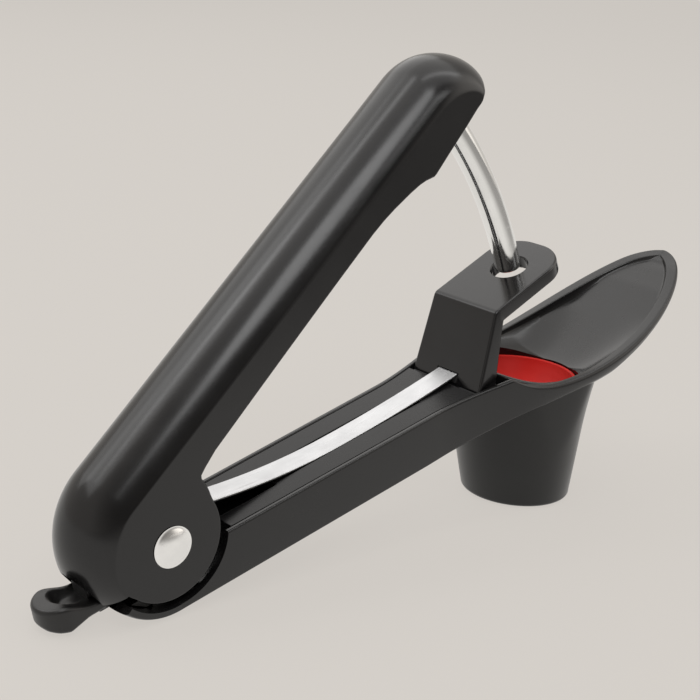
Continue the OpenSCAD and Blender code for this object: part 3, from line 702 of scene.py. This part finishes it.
def rimHalf(x):
    # the arm's width runs smoothly into the scoop's oval
    x0, x1 = scoopForm["blendFrom"], scoopForm["blendTo"]
    if x <= x0:
        return armHalf(x)
    if x >= x1:
        return max(along(rimWidth, x), scoopForm["tipHalf"])
    t, run = (x - x0) / (x1 - x0), x1 - x0
    slope0, slope1 = armHalf(x0) - armHalf(x0 - 1), along(rimWidth, x1 + 1) - along(rimWidth, x1)
    start = (2 * t ** 3 - 3 * t ** 2 + 1) * armHalf(x0) + (t ** 3 - 2 * t ** 2 + t) * run * slope0
    return start + (3 * t ** 2 - 2 * t ** 3) * along(rimWidth, x1) + (t ** 3 - t ** 2) * run * slope1


def armShape(x):
    # rim half width, rim height, lowest line, foot of the side, half width there and how full the underside is
    f = scoopForm
    w = rimHalf(x)
    rim = armForm["rim"] if x <= joinX else along(rimHeight, x)
    low = along(underLine, x)
    toScoop = ramp(x, *armForm["scoopRamp"])
    foot = mix(along(armForm["sideFoot"], x), rim - along(armForm["sideH"], x), toScoop)
    sideLow = max(foot, low + armForm["leastSide"])
    rim += f["lipRise"] * ramp(x, joinX, f["lipRiseRun"]) * ease((tipX - x) / f["lipFallRun"])
    return w, rim, low, sideLow, w - armForm["footIn"] * min(w / armForm["footInFrom"], 1), along(armForm["bulk"], x)


def underAt(x, y):
    # height of the underside at a place along and across the arm
    low, sideLow, wLow, bulk = armShape(x)[2:]
    t = min(abs(y) / max(wLow, 1e-6), 1.0)
    return sideLow - (sideLow - low) * (1 - t ** bulk) ** (1 / bulk)


def armOutside(x):
    # half ring from the rim's top down the side and under to the middle
    w, rim, low, sideLow, wLow, bulk = armShape(x)
    r = mix(armForm["rimRound"], scoopForm["lipRound"], ramp(x, joinX, scoopForm["lipRoundRun"]))
    r = min(r, w * 0.4, (rim - sideLow) * 0.5)
    half = arcSteps(w - r, rim - r, r, 90, 0, 4)
    half += [(mix(w, wLow, t * t), mix(rim - r, sideLow, t)) for t in steps(0, 1, 5)[1:]]
    for a in steps(0, quarter, 18)[1:-1]:
        half.append((wLow * cos(a) ** (2 / bulk), sideLow - (sideLow - low) * sin(a) ** (2 / bulk)))
    return half + [(0.0, low)]


def armInside(x):
    # half ring from the rim's top down to the middle of the channel or, further on, of the bowl
    f, least = scoopForm, 0.02
    w, rim, sideLow = (armShape(x)[k] for k in (0, 1, 3))
    inScoop = ramp(x, *f["bowlRamp"])
    narrowing = (rimHalf(min(x + 0.2, tipX)) - rimHalf(x - 0.2)) / 0.4
    lip = along(f["lipW"], x) * sqrt(1 + (narrowing * inScoop) ** 2)
    inW = max(w - lip, least)
    r = min(armForm["innerRound"], lip * 0.35, inW)
    half = arcSteps(inW + r, rim - r, r, 90, 180, 4)
    floorZ = mix(armForm["channelZ"], along(bowlLine, x), ramp(x, *armForm["channelRamp"]))
    floorZ = mix(rim - least, min(floorZ, rim - f["bowlLeast"]), ease(inW / f["bowlClose"]))
    stepZ = max(rim - along(f["stepH"], x), floorZ)
    step = min(mix(armForm["channelWall"], f["wallRun"], inScoop), inW * 0.3)
    half += [(inW - step * 0.3, mix(rim - r, stepZ, 0.6)), (inW - step, stepZ)]
    bend = mix(armForm["channelBend"], f["bend"], inScoop)
    for t in steps(0, 1, 16)[1:]:
        y = (inW - step) * (1 - t)
        z = floorZ + (stepZ - floorZ) * (y / max(inW - step, 1e-6)) ** bend
        if x > f["skinFrom"]:
            z = max(z, underAt(x, y) + min(f["skin"], (rim - sideLow) * 0.4))
        if x < armForm["pocketTo"] or (x < armForm["slotTo"] and y < armForm["slotHalf"]):
            z = armForm["pocketZ"]
        half.append((y, z))
    return half


def armSection(x):
    # the ring starts at the bowl's middle, goes out over the rim, down and under, and back on the other side
    outer, inner, rim = armOutside(x), armInside(x), armShape(x)[1]
    ring = list(reversed(inner))[1:] + outer
    whole = [inner[-1]] + ring + [(-y, z) for y, z in reversed(ring[:-1])]
    # towards the tip the sections come upright on the table
    upright = ramp(x, *scoopForm["uprightRamp"]) * tiltSin / tiltCos
    return [armPoint(x + (z - rim) * upright, y, z) for y, z in whole]


def armStations(tipFrom=118):
    # places along the arm where its section is drawn, close together where the shape changes
    places = steps(-armForm["heelBack"], 13.2, 8) + [13.4] + steps(15, 32, 8) + [32.3] + steps(34, 64, 12)
    places += steps(65.5, 84, 20) + steps(84.6, tipFrom, 60)
    places += [tipFrom + (tipX - tipFrom) * sin(quarter * t) for t in steps(0, 1, 46)][1:-1] + [tipX - 0.01]
    return sorted(set(round(x, 4) for x in places))


def heelRing(deg):
    # the heel goes on round the hub with the arm's own belly
    f = armForm
    flat = [(p.y / millimetre, toArm(p.x / millimetre, p.z / millimetre)[1]) for p in armSection(0.0)]
    ring = sorted((y, -z) for y, z in flat if z < -f["well"] - f["heelSliver"])
    ring += [(f["heelHalf"], f["well"]), (-f["heelHalf"], f["well"])]
    c, s = cosSin(deg)
    return [armPoint(-f["heelBack"] + r * c, y, r * s) for y, r in ring]


# room for the latch over the heel's end, and bores for the bracket's screws
latchRoomForm = dict(outline=boxOutline(-18.0, -8.9, -4.0, -3.0), half=5.0)
screwBoreForm = dict(x=79.93, aside=5.4, profile=drumProfile(2.25, -20.0, -10.95))
# ears that carry the pin, and the shelf that the latch slides on
earForm = dict(r=7.2, inside=4.2, outside=6.4, turn=(-8, 226), rear=(-5, -5.2), front=(7, -2.2), sink=0.3, edge=0.25)
shelfForm = dict(outline=[(-9.2, -8.8), (5.8, -8.8), (5.8, -10.9), (-6.2, -10.9)], half=6.4)
# the scoop's lip behind the seat
seatLipForm = dict(turn=104.0, fade=22, rise=0.3, sink=0.3, depth=2.0, width=1.3, edge=0.35)


def earOutline():
    f, well = earForm, armForm["well"]
    rearLeg = 180 + degrees(acos(-f["rear"][0] / (well + f["sink"])))
    frontLeg = 360 - degrees(acos(f["front"][0] / well))
    foot = arcSteps(0, 0, well + f["sink"], rearLeg, frontLeg, 16)
    return arcSteps(0, 0, f["r"], *f["turn"], 40) + [f["rear"]] + foot + [f["front"]]


def seatLipRing(deg):
    # the lip follows the rim's height, and sinks into the bowl at both ends
    f, lip = scoopForm, seatLipForm
    c, n = cosSin(deg)
    behind = max(f["dip"] - (f["seatX"] + f["bore"] * c), 0.0) / f["rearRun"]
    top = f["rimLow"] + lip["rise"] + (joinH - f["rimLow"]) * behind ** 2
    top = mix(f["edgeH"] - lip["sink"], top, ease((lip["turn"] - abs(deg - 180)) / lip["fade"]))
    low, r, inR, outR = f["edgeH"] - lip["depth"], lip["edge"], f["bore"], f["bore"] + lip["width"]
    flat = [(inR, low), (inR, top - r)] + arcSteps(inR + r, top - r, r, 165, 90, 4)
    flat += arcSteps(outR - r, top - r, r, 90, 0, 4) + [(outR, low)]
    return [seatPoint(q * c, q * n, h) for q, h in flat]


lowerArm = ringLoft("lowerArm", [armSection(x) for x in armStations()])
cut(lowerArm, slab("well", arcSteps(0, 0, armForm["well"], 0, 360, 96)[:-1], armForm["wellHalf"]))
combine(lowerArm, ringLoft("heel", [heelRing(d) for d in steps(*armForm["heelTurn"], 22)]), "UNION")
cut(lowerArm, slab("latchRoom", **latchRoomForm))
seatCut = lathe("seatCut", drumProfile(scoopForm["bore"], *scoopForm["boreSpan"]), seatPoint)
seatCut.data.validate()
cut(lowerArm, seatCut)
insides = []
for side in (-1, 1):
    aside = side * screwBoreForm["aside"]
    cut(lowerArm, lathe("bore", screwBoreForm["profile"],
                        lambda x, y, z: armPoint(screwBoreForm["x"] + x, aside + y, z), 40))
    ear = prism("ear", earOutline(), side * earForm["inside"], side * earForm["outside"], armPoint)
    roundEdges(ear, earForm["edge"], 2)
    insides.append(ear)
insides.append(slab("shelf", **shelfForm))
lipTurns = steps(180 - seatLipForm["turn"], 180 + seatLipForm["turn"], 72)
insides.append(ringLoft("seatLip", [seatLipRing(d) for d in lipTurns]))
joinPieces(lowerArm, insides)
settle(lowerArm, "frame", armBlack, ["lower_arm"], 40)
print("arm and scoop built:", len(lowerArm.data.polygons), "faces")

# deck plate between the rims, with the spring's slot at its rear and a shallow recess for its belly
deckForm = dict(rear=13.5, front=76.3, inset=1.35, top=-3.15, thick=2.55, edge=0.18,
                slotHalf=3.65, slotEnd=28.6, slotRound=1.2,
                recessFrom=26.0, recessTo=67.0, recessSlope=1.0, recessHalf=3.05, recessZ=-3.95)


def deckOutline():
    f = deckForm
    far = [(x, armHalf(x) - f["inset"]) for x in steps(f["rear"], f["front"], 30)]
    r = f["slotRound"]
    slot = [(f["rear"], f["slotHalf"])] + arcSteps(f["slotEnd"] - r, f["slotHalf"] - r, r, 90, 0, 5)
    return far + [(x, -y) for x, y in reversed(far)] + [(x, -y) for x, y in slot] + list(reversed(slot))


def deckRecess():
    f = deckForm
    outline = [(f["recessFrom"], f["recessZ"]), (f["recessTo"], f["recessZ"])]
    outline += [(f["recessTo"] + f["recessSlope"], 0.0), (f["recessFrom"], 0.0)]
    return slab("springRecess", outline, f["recessHalf"])


deck = prism("deckPlate", deckOutline(), deckForm["top"] - deckForm["thick"], deckForm["top"],
             lambda x, z, y: armPoint(x, y, z))
cut(deck, deckRecess())
roundEdges(deck, deckForm["edge"], 2)
settle(deck, "frame", deckBlack, ["deck_plate"])
print("deck built")

# guide bracket: a bent strip with rounded edges, its wall thicker towards the foot
bracketForm = dict(
    foldX=85.3, foldZ=11.8, foldR=1.6, foldClear=0.8, innerSpan=0.5, lean=26.4, rise=11.1, thick=3.2, footThick=2.1,
    thickFrom=1.5, length=23.6, half=9.2, baseSpread=0.8, endR=7.0, edge=0.6, deckZ=-3.9, sink=0.6, holeRun=14.2,
    hole=[(0.0, -8.0), (4.3, -8.0), (4.3, -3.1), (4.0, -2.75), (4.0, -0.25), (4.2, 0.0), (4.2, 4.0), (0.0, 4.0)],
    slot=[(74.5, -3.5), (87, -3.5), (87, -0.8), (83, -1.1), (74.5, -1.95)], slotHalf=3.15,
    foot=boxOutline(76.45, -8.5, 83.1, -3.9), footAt=77.5, footInset=1.6, footEdge=0.2)


def bracketStations():
    # rows of (outer point, inner point, drawn-in width), and the plate's two directions
    f = bracketForm
    (leanCos, leanSin), (riseCos, riseSin) = cosSin(f["lean"]), cosSin(f["rise"])
    wall, wallIn = (-leanSin, -leanCos), (leanCos, -leanSin)
    plate, plateIn = (riseCos, riseSin), (riseSin, -riseCos)
    dot = lambda p, q: p[0] * q[0] + p[1] * q[1]
    inner = [f["thick"] / (1 + dot(wallIn, plateIn)) * (wallIn[k] + plateIn[k]) for k in (0, 1)]
    fold = (f["foldX"], f["foldZ"])

    def at(base, d, n, run, depth):
        return tuple(fold[k] + base[k] + d[k] * run + n[k] * depth for k in (0, 1))

    onWall = lambda run, depth: at((0, 0), wall, wallIn, run, depth)
    onPlate = lambda run, depth: at((0, 0), plate, plateIn, run, depth)
    wallLen = (f["foldZ"] - f["deckZ"] + f["sink"]) / leanCos
    cutBack = f["foldR"] * tan(acos(-dot(wall, plate)) / 2)
    innerWall, innerPlate = dot(inner, wall), dot(inner, plate)
    rows = []
    thickAt = innerWall + f["thickFrom"]
    for run in steps(wallLen, max(cutBack, innerWall) + f["foldClear"], 9):
        thick = f["thick"] + f["footThick"] * max(run - thickAt, 0.0) / (wallLen - thickAt)
        rows.append((onWall(run, 0), onWall(run, thick), 0))
    a0 = degrees(atan2(-wallIn[1], -wallIn[0]))
    a1 = degrees(atan2(-plateIn[1], -plateIn[0]))
    for k, outer in enumerate(arcSteps(*onWall(cutBack, f["foldR"]), f["foldR"], a0, a1, 8)):
        t = k / 4 - 1  # from -1 on the wall to 1 on the plate
        d, n = (wall, wallIn) if t < 0 else (plate, plateIn)
        rows.append((outer, at(inner, d, n, f["innerSpan"] * abs(t), 0), 0))
    straight = f["length"] - f["endR"]
    for run in steps(max(cutBack, innerPlate) + f["foldClear"], straight, 8):
        rows.append((onPlate(run, 0), onPlate(run, f["thick"]), 0))
    for a in steps(0, quarter, 14)[1:]:
        run = straight + f["endR"] * sin(a)
        rows.append((onPlate(run, 0), onPlate(run, f["thick"]), f["endR"] * (1 - cos(a))))
    return rows, plate, plateIn


def bracketRing(outer, inner, drop):
    f = bracketForm
    below = max(f["foldZ"] - outer[1], 0) / (f["foldZ"] - f["deckZ"])
    thick = hypot(inner[0] - outer[0], inner[1] - outer[1])
    d = ((inner[0] - outer[0]) / thick, (inner[1] - outer[1]) / thick)
    ring = roundedBox(f["half"] + f["baseSpread"] * below - drop, 0.0, thick, f["edge"], 4)
    return [armPoint(outer[0] + d[0] * v, y, outer[1] + d[1] * v) for y, v in ring]


bracketRows, plateDir, plateIn = bracketStations()
holeX = bracketForm["foldX"] + plateDir[0] * bracketForm["holeRun"]
holeZ = bracketForm["foldZ"] + plateDir[1] * bracketForm["holeRun"]


def platePoint(x, y, z):
    # x along the plate from the hole's middle, z up out of it
    return armPoint(holeX + plateDir[0] * x - plateIn[0] * z, y, holeZ + plateDir[1] * x - plateIn[1] * z)


bracket = ringLoft("guideBracket", [bracketRing(*row) for row in bracketRows])
cut(bracket, lathe("guideCut", bracketForm["hole"], platePoint, 80))
cut(bracket, slab("slotCut", bracketForm["slot"], bracketForm["slotHalf"]))
footHalf = armHalf(bracketForm["footAt"]) - bracketForm["footInset"]
foot = slab("bracketFoot", bracketForm["foot"], footHalf)
roundEdges(foot, bracketForm["footEdge"], 2)
joinPieces(bracket, [foot])
settle(bracket, "frame", bracketBlack, ["guide_bracket"], 36)
print("bracket built")

# leaf spring: a bowed strip, its rear end under the handle
springForm = dict(rearX=7.8, frontX=83.0, lowX=45.6, lowZ=-3.45, rearR=150.0, frontR=380.0, half=2.75, thick=0.5,
                  edge=0.14, endRound=0.7, crown=0.05)


def springHeight(x):
    f = springForm
    return f["lowZ"] + (x - f["lowX"]) ** 2 / (2 * (f["rearR"] if x < f["lowX"] else f["frontR"]))


def springRing(x):
    f = springForm
    slope = (springHeight(x + 0.01) - springHeight(x - 0.01)) / 0.02
    half = f["half"] - max(0.0, f["endRound"] - (x - f["rearX"])) ** 2
    ring = roundedBox(half, -f["thick"] / 2, f["thick"] / 2, f["edge"], 3)
    crown = lambda y: f["crown"] * (1 - (y / f["half"]) ** 2)
    return [armPoint(x - slope * z, y, springHeight(x) + z + crown(y)) for y, z in ring]


leafSpring = ringLoft("leafSpring", [springRing(x) for x in steps(springForm["rearX"], springForm["frontX"], 76)])
settle(leafSpring, None, springSteel, ["leaf_spring"])
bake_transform(leafSpring)
print("spring built")

# pit cup: leaning cone with a rounded foot, cut along the arm's underside; mouth holds (radius, height) pairs
cupForm = dict(
    footX=39.8905, footR=12.2, footRound=0.9, footChamfer=0.4, draft=0.15, wall=1.8, leanSlope=3 / 27.6,
    flare=0.8, flareFrom=16.0, flareRun=11.0, topGuess=24.25, topPasses=8, intoArm=0.5, tuck=0.6, tuckGap=0.12,
    inside=(2.5, 17.5), mouth=[(10.9, 18.7), (10.9, 20.2), (13.25, 20.2)])


def cupPoint(a, r, h):
    return (cupForm["footX"] - h * cupForm["leanSlope"] + r * cos(a), r * sin(a), h)


def tucked(point):
    # near its top the cup's side bends in under the arm's side
    x, y, h = point
    run = cupForm["tuck"]
    start = armShape(toArm(x, h)[0])[4] - cupForm["tuckGap"] - run
    if abs(y) > start:
        y = copysign(start + run * (1 - exp(-(abs(y) - start) / run)), y)
    return x, y, h


def cupColumn(a):
    f = cupForm
    front = f["flare"] * max(cos(a), 0.0)
    outerR = lambda h: f["footR"] + f["draft"] * h + front * max((h - f["flareFrom"]) / f["flareRun"], 0.0) ** 2
    top = f["topGuess"]
    for repeat in range(f["topPasses"]):
        x, y, h = tucked(cupPoint(a, outerR(top), top))
        armX = toArm(x, h)[0]
        top = armHeight(armX, underAt(armX, y)) + f["intoArm"]
    q, chamfer, innerFoot = f["footRound"], f["footChamfer"], f["footR"] - f["wall"]
    loop = [tucked(cupPoint(a, outerR(h), h)) for h in steps(top, q, 28)]
    loop += [cupPoint(a, r, h) for r, h in arcSteps(outerR(q) - q, q, q, 0, -90, 6)[1:]]
    loop += [cupPoint(a, innerFoot + chamfer, 0.0), cupPoint(a, innerFoot, chamfer)]
    loop += [cupPoint(a, outerR(h) - f["wall"], h) for h in steps(*f["inside"], 6)]
    mouth = f["mouth"] + [(f["mouth"][-1][0], top)]
    return [tablePoint(*p) for p in loop] + [seatPoint(r * cos(a), r * sin(a), h) for r, h in mouth]


pitCup = ringLoft("pitCup", [cupColumn(2 * pi * k / 128) for k in range(128)], closed=True)
settle(pitCup, "frame", cupBlack, ["pit_cup"], 40)

# soft seat: a funnel with a rounded lip, as (radius, height) pairs
seatForm = dict(
    outside=[(4.6, 20.55), (10.6, 20.4), (10.7, 20.2), (13.1, 20.2), (13.15, 20.4), (13.15, 27.4)],
    lip=(12.65, 27.5), lipRound=0.5, lipTurn=154.8,
    inside=[(11.95, 27.0), (11.45, 26.3), (11.0, 25.5), (10.2, 24.4), (9.0, 23.3), (7.6, 22.45), (6.2, 22.0),
            (5.2, 21.85), (4.75, 21.6), (4.6, 21.2)])
seatLipArc = arcSteps(*seatForm["lip"], seatForm["lipRound"], 0, seatForm["lipTurn"], 7)
cherrySeat = lathe("cherrySeat", seatForm["outside"] + seatLipArc + seatForm["inside"], seatPoint, 112)
settle(cherrySeat, "frame", seatRed, ["cherry_seat"], 60)
print("cup and seat built")

# plunger: curved rod about the pivot, with a small edge round at its end
rodForm = dict(reach=100.0, r=2.8, low=8.4, high=37.9, endRound=0.35, endGap=0.5, sides=48)


def rodRing(deg, r):
    c, s = cosSin(deg)
    circle = arcSteps(rodForm["reach"], 0, r, 0, 360, rodForm["sides"])[:-1]
    return [armPoint(out * c, y, out * s) for out, y in circle]


def rodStations():
    f = rodForm
    endTurn = degrees(f["endRound"] / f["reach"])
    places = [(f["low"] + endTurn * (1 - cos(a)), f["r"] - f["endRound"] * (1 - sin(a)))
              for a in steps(0, quarter, 4)]
    return places + [(deg, f["r"]) for deg in steps(f["low"] + endTurn + f["endGap"], f["high"], 48)]


plungerRod = ringLoft("plungerRod", [rodRing(deg, r) for deg, r in rodStations()])
settle(plungerRod, "handle", rodSteel, ["plunger_rod"], 50)

# pivot pin: domed heads with a small edge, and the shaft between them
pinForm = dict(headR=4.05, headH=0.9, face=9.15, rimIn=0.12, rimH=0.1, domeIn=0.25, shaft=drumProfile(2.4, -9.3, 9.0))


def domeProfile():
    f = pinForm
    domeR = (f["headR"] ** 2 + f["headH"] ** 2) / (2 * f["headH"])
    middle = f["face"] + f["headH"] - domeR
    meet = degrees(acos((f["headR"] - f["domeIn"]) / domeR))
    profile = [(0.0, f["face"]), (f["headR"] - f["rimIn"], f["face"]), (f["headR"], f["face"] + f["rimH"])]
    return profile + arcSteps(0, middle, domeR, meet, 90, 12)


nearPin = lathe("pivotPin", domeProfile(), lambda x, y, z: armPoint(x, -z, y), 72)
joinPieces(nearPin, [lathe("pinShaft", pinForm["shaft"], lambda x, y, z: armPoint(x, z, y), 48)])
settle(nearPin, "frame", pinSteel, ["pivot_pin"], 45)
farPin = lathe("pivotCap", domeProfile(), lambda x, y, z: armPoint(x, z, y), 72)
settle(farPin, "frame", pinSteel, ["pivot_cap"], 45)
print("plunger and pin built")

# lock latch: dished thumb tab outside, plate and finger inside
latchForm = dict(
    end=-24.6, inner=-13.2, half=4.8, floor=-5.9, lip=-3.6, rimSide=1.3, rimEnd=2.8, rimOver=0.15, rimRamp=(3.0, 7.0),
    dishW=2.4, dishEnd=4.0, edge=0.9, edgeFrom=3, under=1.1, underFlat=0.8,
    underInsets=(4.8, 3.6, 2.4, 1.6), low=-8.7,
    lowLine=[(0, 1.1), (0.8, 0.4), (2.2, -0.1), (4.0, -0.45), (5.4, -0.1), (8.0, 0.55), (12.0, 0.6)],
    plate=boxOutline(-14.2, -8.7, 1.8, -6.9), plateHalf=3.9,
    post=[(-15.2, -6.9), (-13.2, -6.9), (-13.2, -4.3), (-11.3, -4.3), (-11.3, -3.1), (-15.2, -3.1)], postHalf=2.6,
    bitEdge=0.25)


def latchLow(d):
    return along(latchForm["lowLine"], d) + latchForm["low"]


def latchRim(d):
    # the rim is high round the end and sinks to the dish's floor towards the arch
    f = latchForm
    return mix(f["lip"], f["floor"] + f["rimOver"], ramp(d, *f["rimRamp"]))


def latchOutline(inset, endInset):
    # straight sides and a half round end, drawn in by given widths
    f = latchForm
    h = max(f["half"] - inset, 0.02)
    mid = f["end"] + endInset + h
    near = [(x, -h) for x in steps(f["inner"], mid, 9)[:-1]]
    return near + arcSteps(mid, 0, h, 270, 90, 32) + [(x, -y) for x, y in reversed(near)]


def latchRow(inset, height, endInset=None):
    outline = latchOutline(inset, inset if endInset is None else endInset)
    return [armPoint(x, y, height(x - latchForm["end"])) for x, y in outline]


def latchRows():
    # from the middle of the underside out, up over the rim and in to the dish's floor
    f = latchForm
    rows = [latchRow(inset, latchLow) for inset in f["underInsets"]]
    for a in steps(0, quarter, 6):
        lift = f["under"] * (1 - cos(a)) * f["underFlat"]
        rows.append(latchRow(f["under"] * (1 - sin(a)), lambda d: latchLow(d) + lift))
    for a in steps(0, quarter, 6):
        drop = f["edge"] * (1 - sin(a))
        share = lambda d: min((latchRim(d) - latchLow(d)) / f["edgeFrom"], 1)
        rows.append(latchRow(f["edge"] * (1 - cos(a)), lambda d: latchRim(d) - drop * share(d)))
    for t in steps(0, 1, 10):
        spread = f["dishW"] * t
        dish = lambda d: mix(latchRim(d), f["floor"], ease(t))
        rows.append(latchRow(f["rimSide"] + spread, dish, f["rimEnd"] + spread))
    return rows + [latchRow(f["half"], lambda d: f["floor"], f["rimEnd"] + f["dishEnd"])]


latch = openLoft("lockLatch", latchRows())
latchBits = [slab("latchPlate", latchForm["plate"], latchForm["plateHalf"]),
             slab("latchPost", latchForm["post"], latchForm["postHalf"])]
for bit in latchBits:
    roundEdges(bit, latchForm["bitEdge"])
joinPieces(latch, latchBits)
settle(latch, "latch", latchBlack, ["lock_latch"], 50)
print("latch built")

# small steel pieces keep their solid shape
for name in ("bracket_screws", "pivot_washers", "pivot_sleeve", "rod_set_screw", "latch_screw"):
    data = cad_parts[name].data
    data.materials.clear()
    data.materials.append(fastenerSteel)

# floor in the photograph's backdrop colour, with a soft shadow; lengths from here on are metres
backdrop = (0.662, 0.628, 0.588)
floorForm = dict(half=6, z=-0.0004, glow=0.86,
                 mirror=(0.86, 0.84, 0.81),  # the same floor as polished pieces show it
                 far=(0.33, 0.32, 0.31),  # and further off on the near side, where the studio is darker
                 farTo=-0.19, mirrorFrom=-0.09)


def floorMaterial():
    f = floorForm
    material = bpy.data.materials.new("paleFloor")
    material.use_nodes = True
    tree = material.node_tree
    tree.nodes.clear()
    out = tree.nodes.new("ShaderNodeOutputMaterial")
    plain = addNode(tree, "ShaderNodeBsdfDiffuse", in_Color=(*backdrop, 1))
    glow = addNode(tree, "ShaderNodeEmission", in_Strength=1.0)
    path = tree.nodes.new("ShaderNodeLightPath")
    place = tree.nodes.new("ShaderNodeSeparateXYZ")
    tree.links.new(addNode(tree, "ShaderNodeNewGeometry").outputs["Position"], place.inputs[0])
    nearness = addMap(tree, place.outputs["Y"], f["farTo"], f["mirrorFrom"])
    mirrored = mixColour(tree, nearness, f["far"], f["mirror"])
    tree.links.new(mixColour(tree, path.outputs["Is Glossy Ray"], backdrop, mirrored), glow.inputs["Color"])
    seen = addMath(tree, "MAXIMUM", path.outputs["Is Glossy Ray"], path.outputs["Is Transmission Ray"])
    seen = addMath(tree, "MAXIMUM", path.outputs["Is Camera Ray"], seen)
    blendNode = tree.nodes.new("ShaderNodeMixShader")
    tree.links.new(addMath(tree, "MULTIPLY", seen, f["glow"]), blendNode.inputs["Fac"])
    tree.links.new(plain.outputs[0], blendNode.inputs[1])
    tree.links.new(glow.outputs[0], blendNode.inputs[2])
    tree.links.new(blendNode.outputs[0], out.inputs["Surface"])
    return material


floorMesh = bpy.data.meshes.new("floor")
corners = boxOutline(-floorForm["half"], -floorForm["half"], floorForm["half"], floorForm["half"])
floorMesh.from_pydata([(x, y, floorForm["z"]) for x, y in corners], [], [(0, 1, 2, 3)])
floor = addObject("floor", floorMesh)
floorMesh.materials.append(floorMaterial())

# camera at the photograph's place, in millimetres
cameraForm = dict(place=(-208.98, -210.96, 131.94), right=(0.7479, -0.6602, 0.0697), up=(0.1500, 0.2702, 0.9511),
                  back=(-0.6467, -0.7008, 0.3011), lens=78.13)
cameraData = bpy.data.cameras.new("photoCamera")
cameraData.lens = cameraForm["lens"]
cameraData.sensor_width = 36
cameraData.clip_start = 0.01
camera = addObject("photoCamera", cameraData)
axes = Matrix((cameraForm["right"], cameraForm["up"], cameraForm["back"])).transposed()
camera.matrix_world = Matrix.Translation(tablePoint(*cameraForm["place"])) @ axes.to_4x4()
scene.camera = camera

# studio light: wide soft boxes, and strips that draw the streaks along the handle and over its tip
lightForms = [
    dict(name="farBox", place=(0.0, 0.706, 0.636), aim=(0.0, 0.0, 0.04), size=(1.3, 0.6), power=2.4),
    dict(name="leftBox", place=(-0.503, 0.352, 0.658), aim=(0.0, 0.0, 0.05), size=(0.55, 0.45), power=0.93),
    dict(name="leftStrip", place=(-0.413, 0.238, 0.763), aim=(0.0, 0.0, 0.05), size=(0.1, 0.42), power=0.45),
    dict(name="nearBox", place=(-0.289, -0.501, 0.689), aim=(0.0, 0.0, 0.05), size=(0.34, 0.3), power=1.5),
    dict(name="nearStrip", place=(0.06, -0.63, 0.58), aim=(0.0, 0.0, 0.05), size=(0.3, 0.08), power=0.3),
    dict(name="tipStrip", place=(0.087, -0.124, 0.8), aim=(-0.3, -0.05, 0.05), size=(0.07, 0.74), power=0.5),
    dict(name="topBox", place=(0.0, 0.0, 0.95), aim=(0.0, 0.0, 0.04), size=(1.3, 1.2), power=3.8),
]
for form in lightForms:
    data = bpy.data.lights.new(form["name"], "AREA")
    data.shape = "RECTANGLE"
    data.size, data.size_y = form["size"]
    data.energy = form["power"]
    lamp = addObject(form["name"], data)
    lamp.location = form["place"]
    lamp.rotation_euler = (Vector(form["aim"]) - Vector(form["place"])).to_track_quat("-Z", "Y").to_euler()

# the room as mirrored surfaces see it: darker on the near side and brighter at the right, where the handle's tip
# looks; the backdrop itself stays even
worldForm = dict(soft=0.45, near=(-0.16, -0.87, 0.47), nearFade=(0.45, 0.9), nearGlow=0.3,
                 right=(0.755, -0.51, 0.42), rightFade=(0.85, 0.96), rightGlow=1.5)
world = bpy.data.worlds.new("studio")
scene.world = world
world.use_nodes = True
worldTree = world.node_tree
background = worldTree.nodes["Background"]
background.inputs["Color"].default_value = (*backdrop, 1)
path = worldTree.nodes.new("ShaderNodeLightPath")
heading = addNode(worldTree, "ShaderNodeTexCoord")


def headingTo(direction):
    node = addNode(worldTree, "ShaderNodeVectorMath", operation="DOT_PRODUCT")
    node.inputs[1].default_value = direction
    worldTree.links.new(heading.outputs["Generated"], node.inputs[0])
    return node.outputs["Value"]


nearSide = addMap(worldTree, headingTo(worldForm["near"]), *worldForm["nearFade"], 1.0, worldForm["nearGlow"])
rightSide = addMap(worldTree, headingTo(worldForm["right"]), *worldForm["rightFade"], 0.0, worldForm["rightGlow"])
roomGlow = addMath(worldTree, "ADD", nearSide, rightSide)
mirrored = addMap(worldTree, path.outputs["Is Glossy Ray"], 0.0, 1.0, worldForm["soft"], roomGlow)
straight = addMath(worldTree, "MAXIMUM", path.outputs["Is Camera Ray"], path.outputs["Is Transmission Ray"])
worldTree.links.new(addMap(worldTree, straight, 0.0, 1.0, mirrored, 1.0), background.inputs["Strength"])
scene.view_settings.view_transform = "Standard"
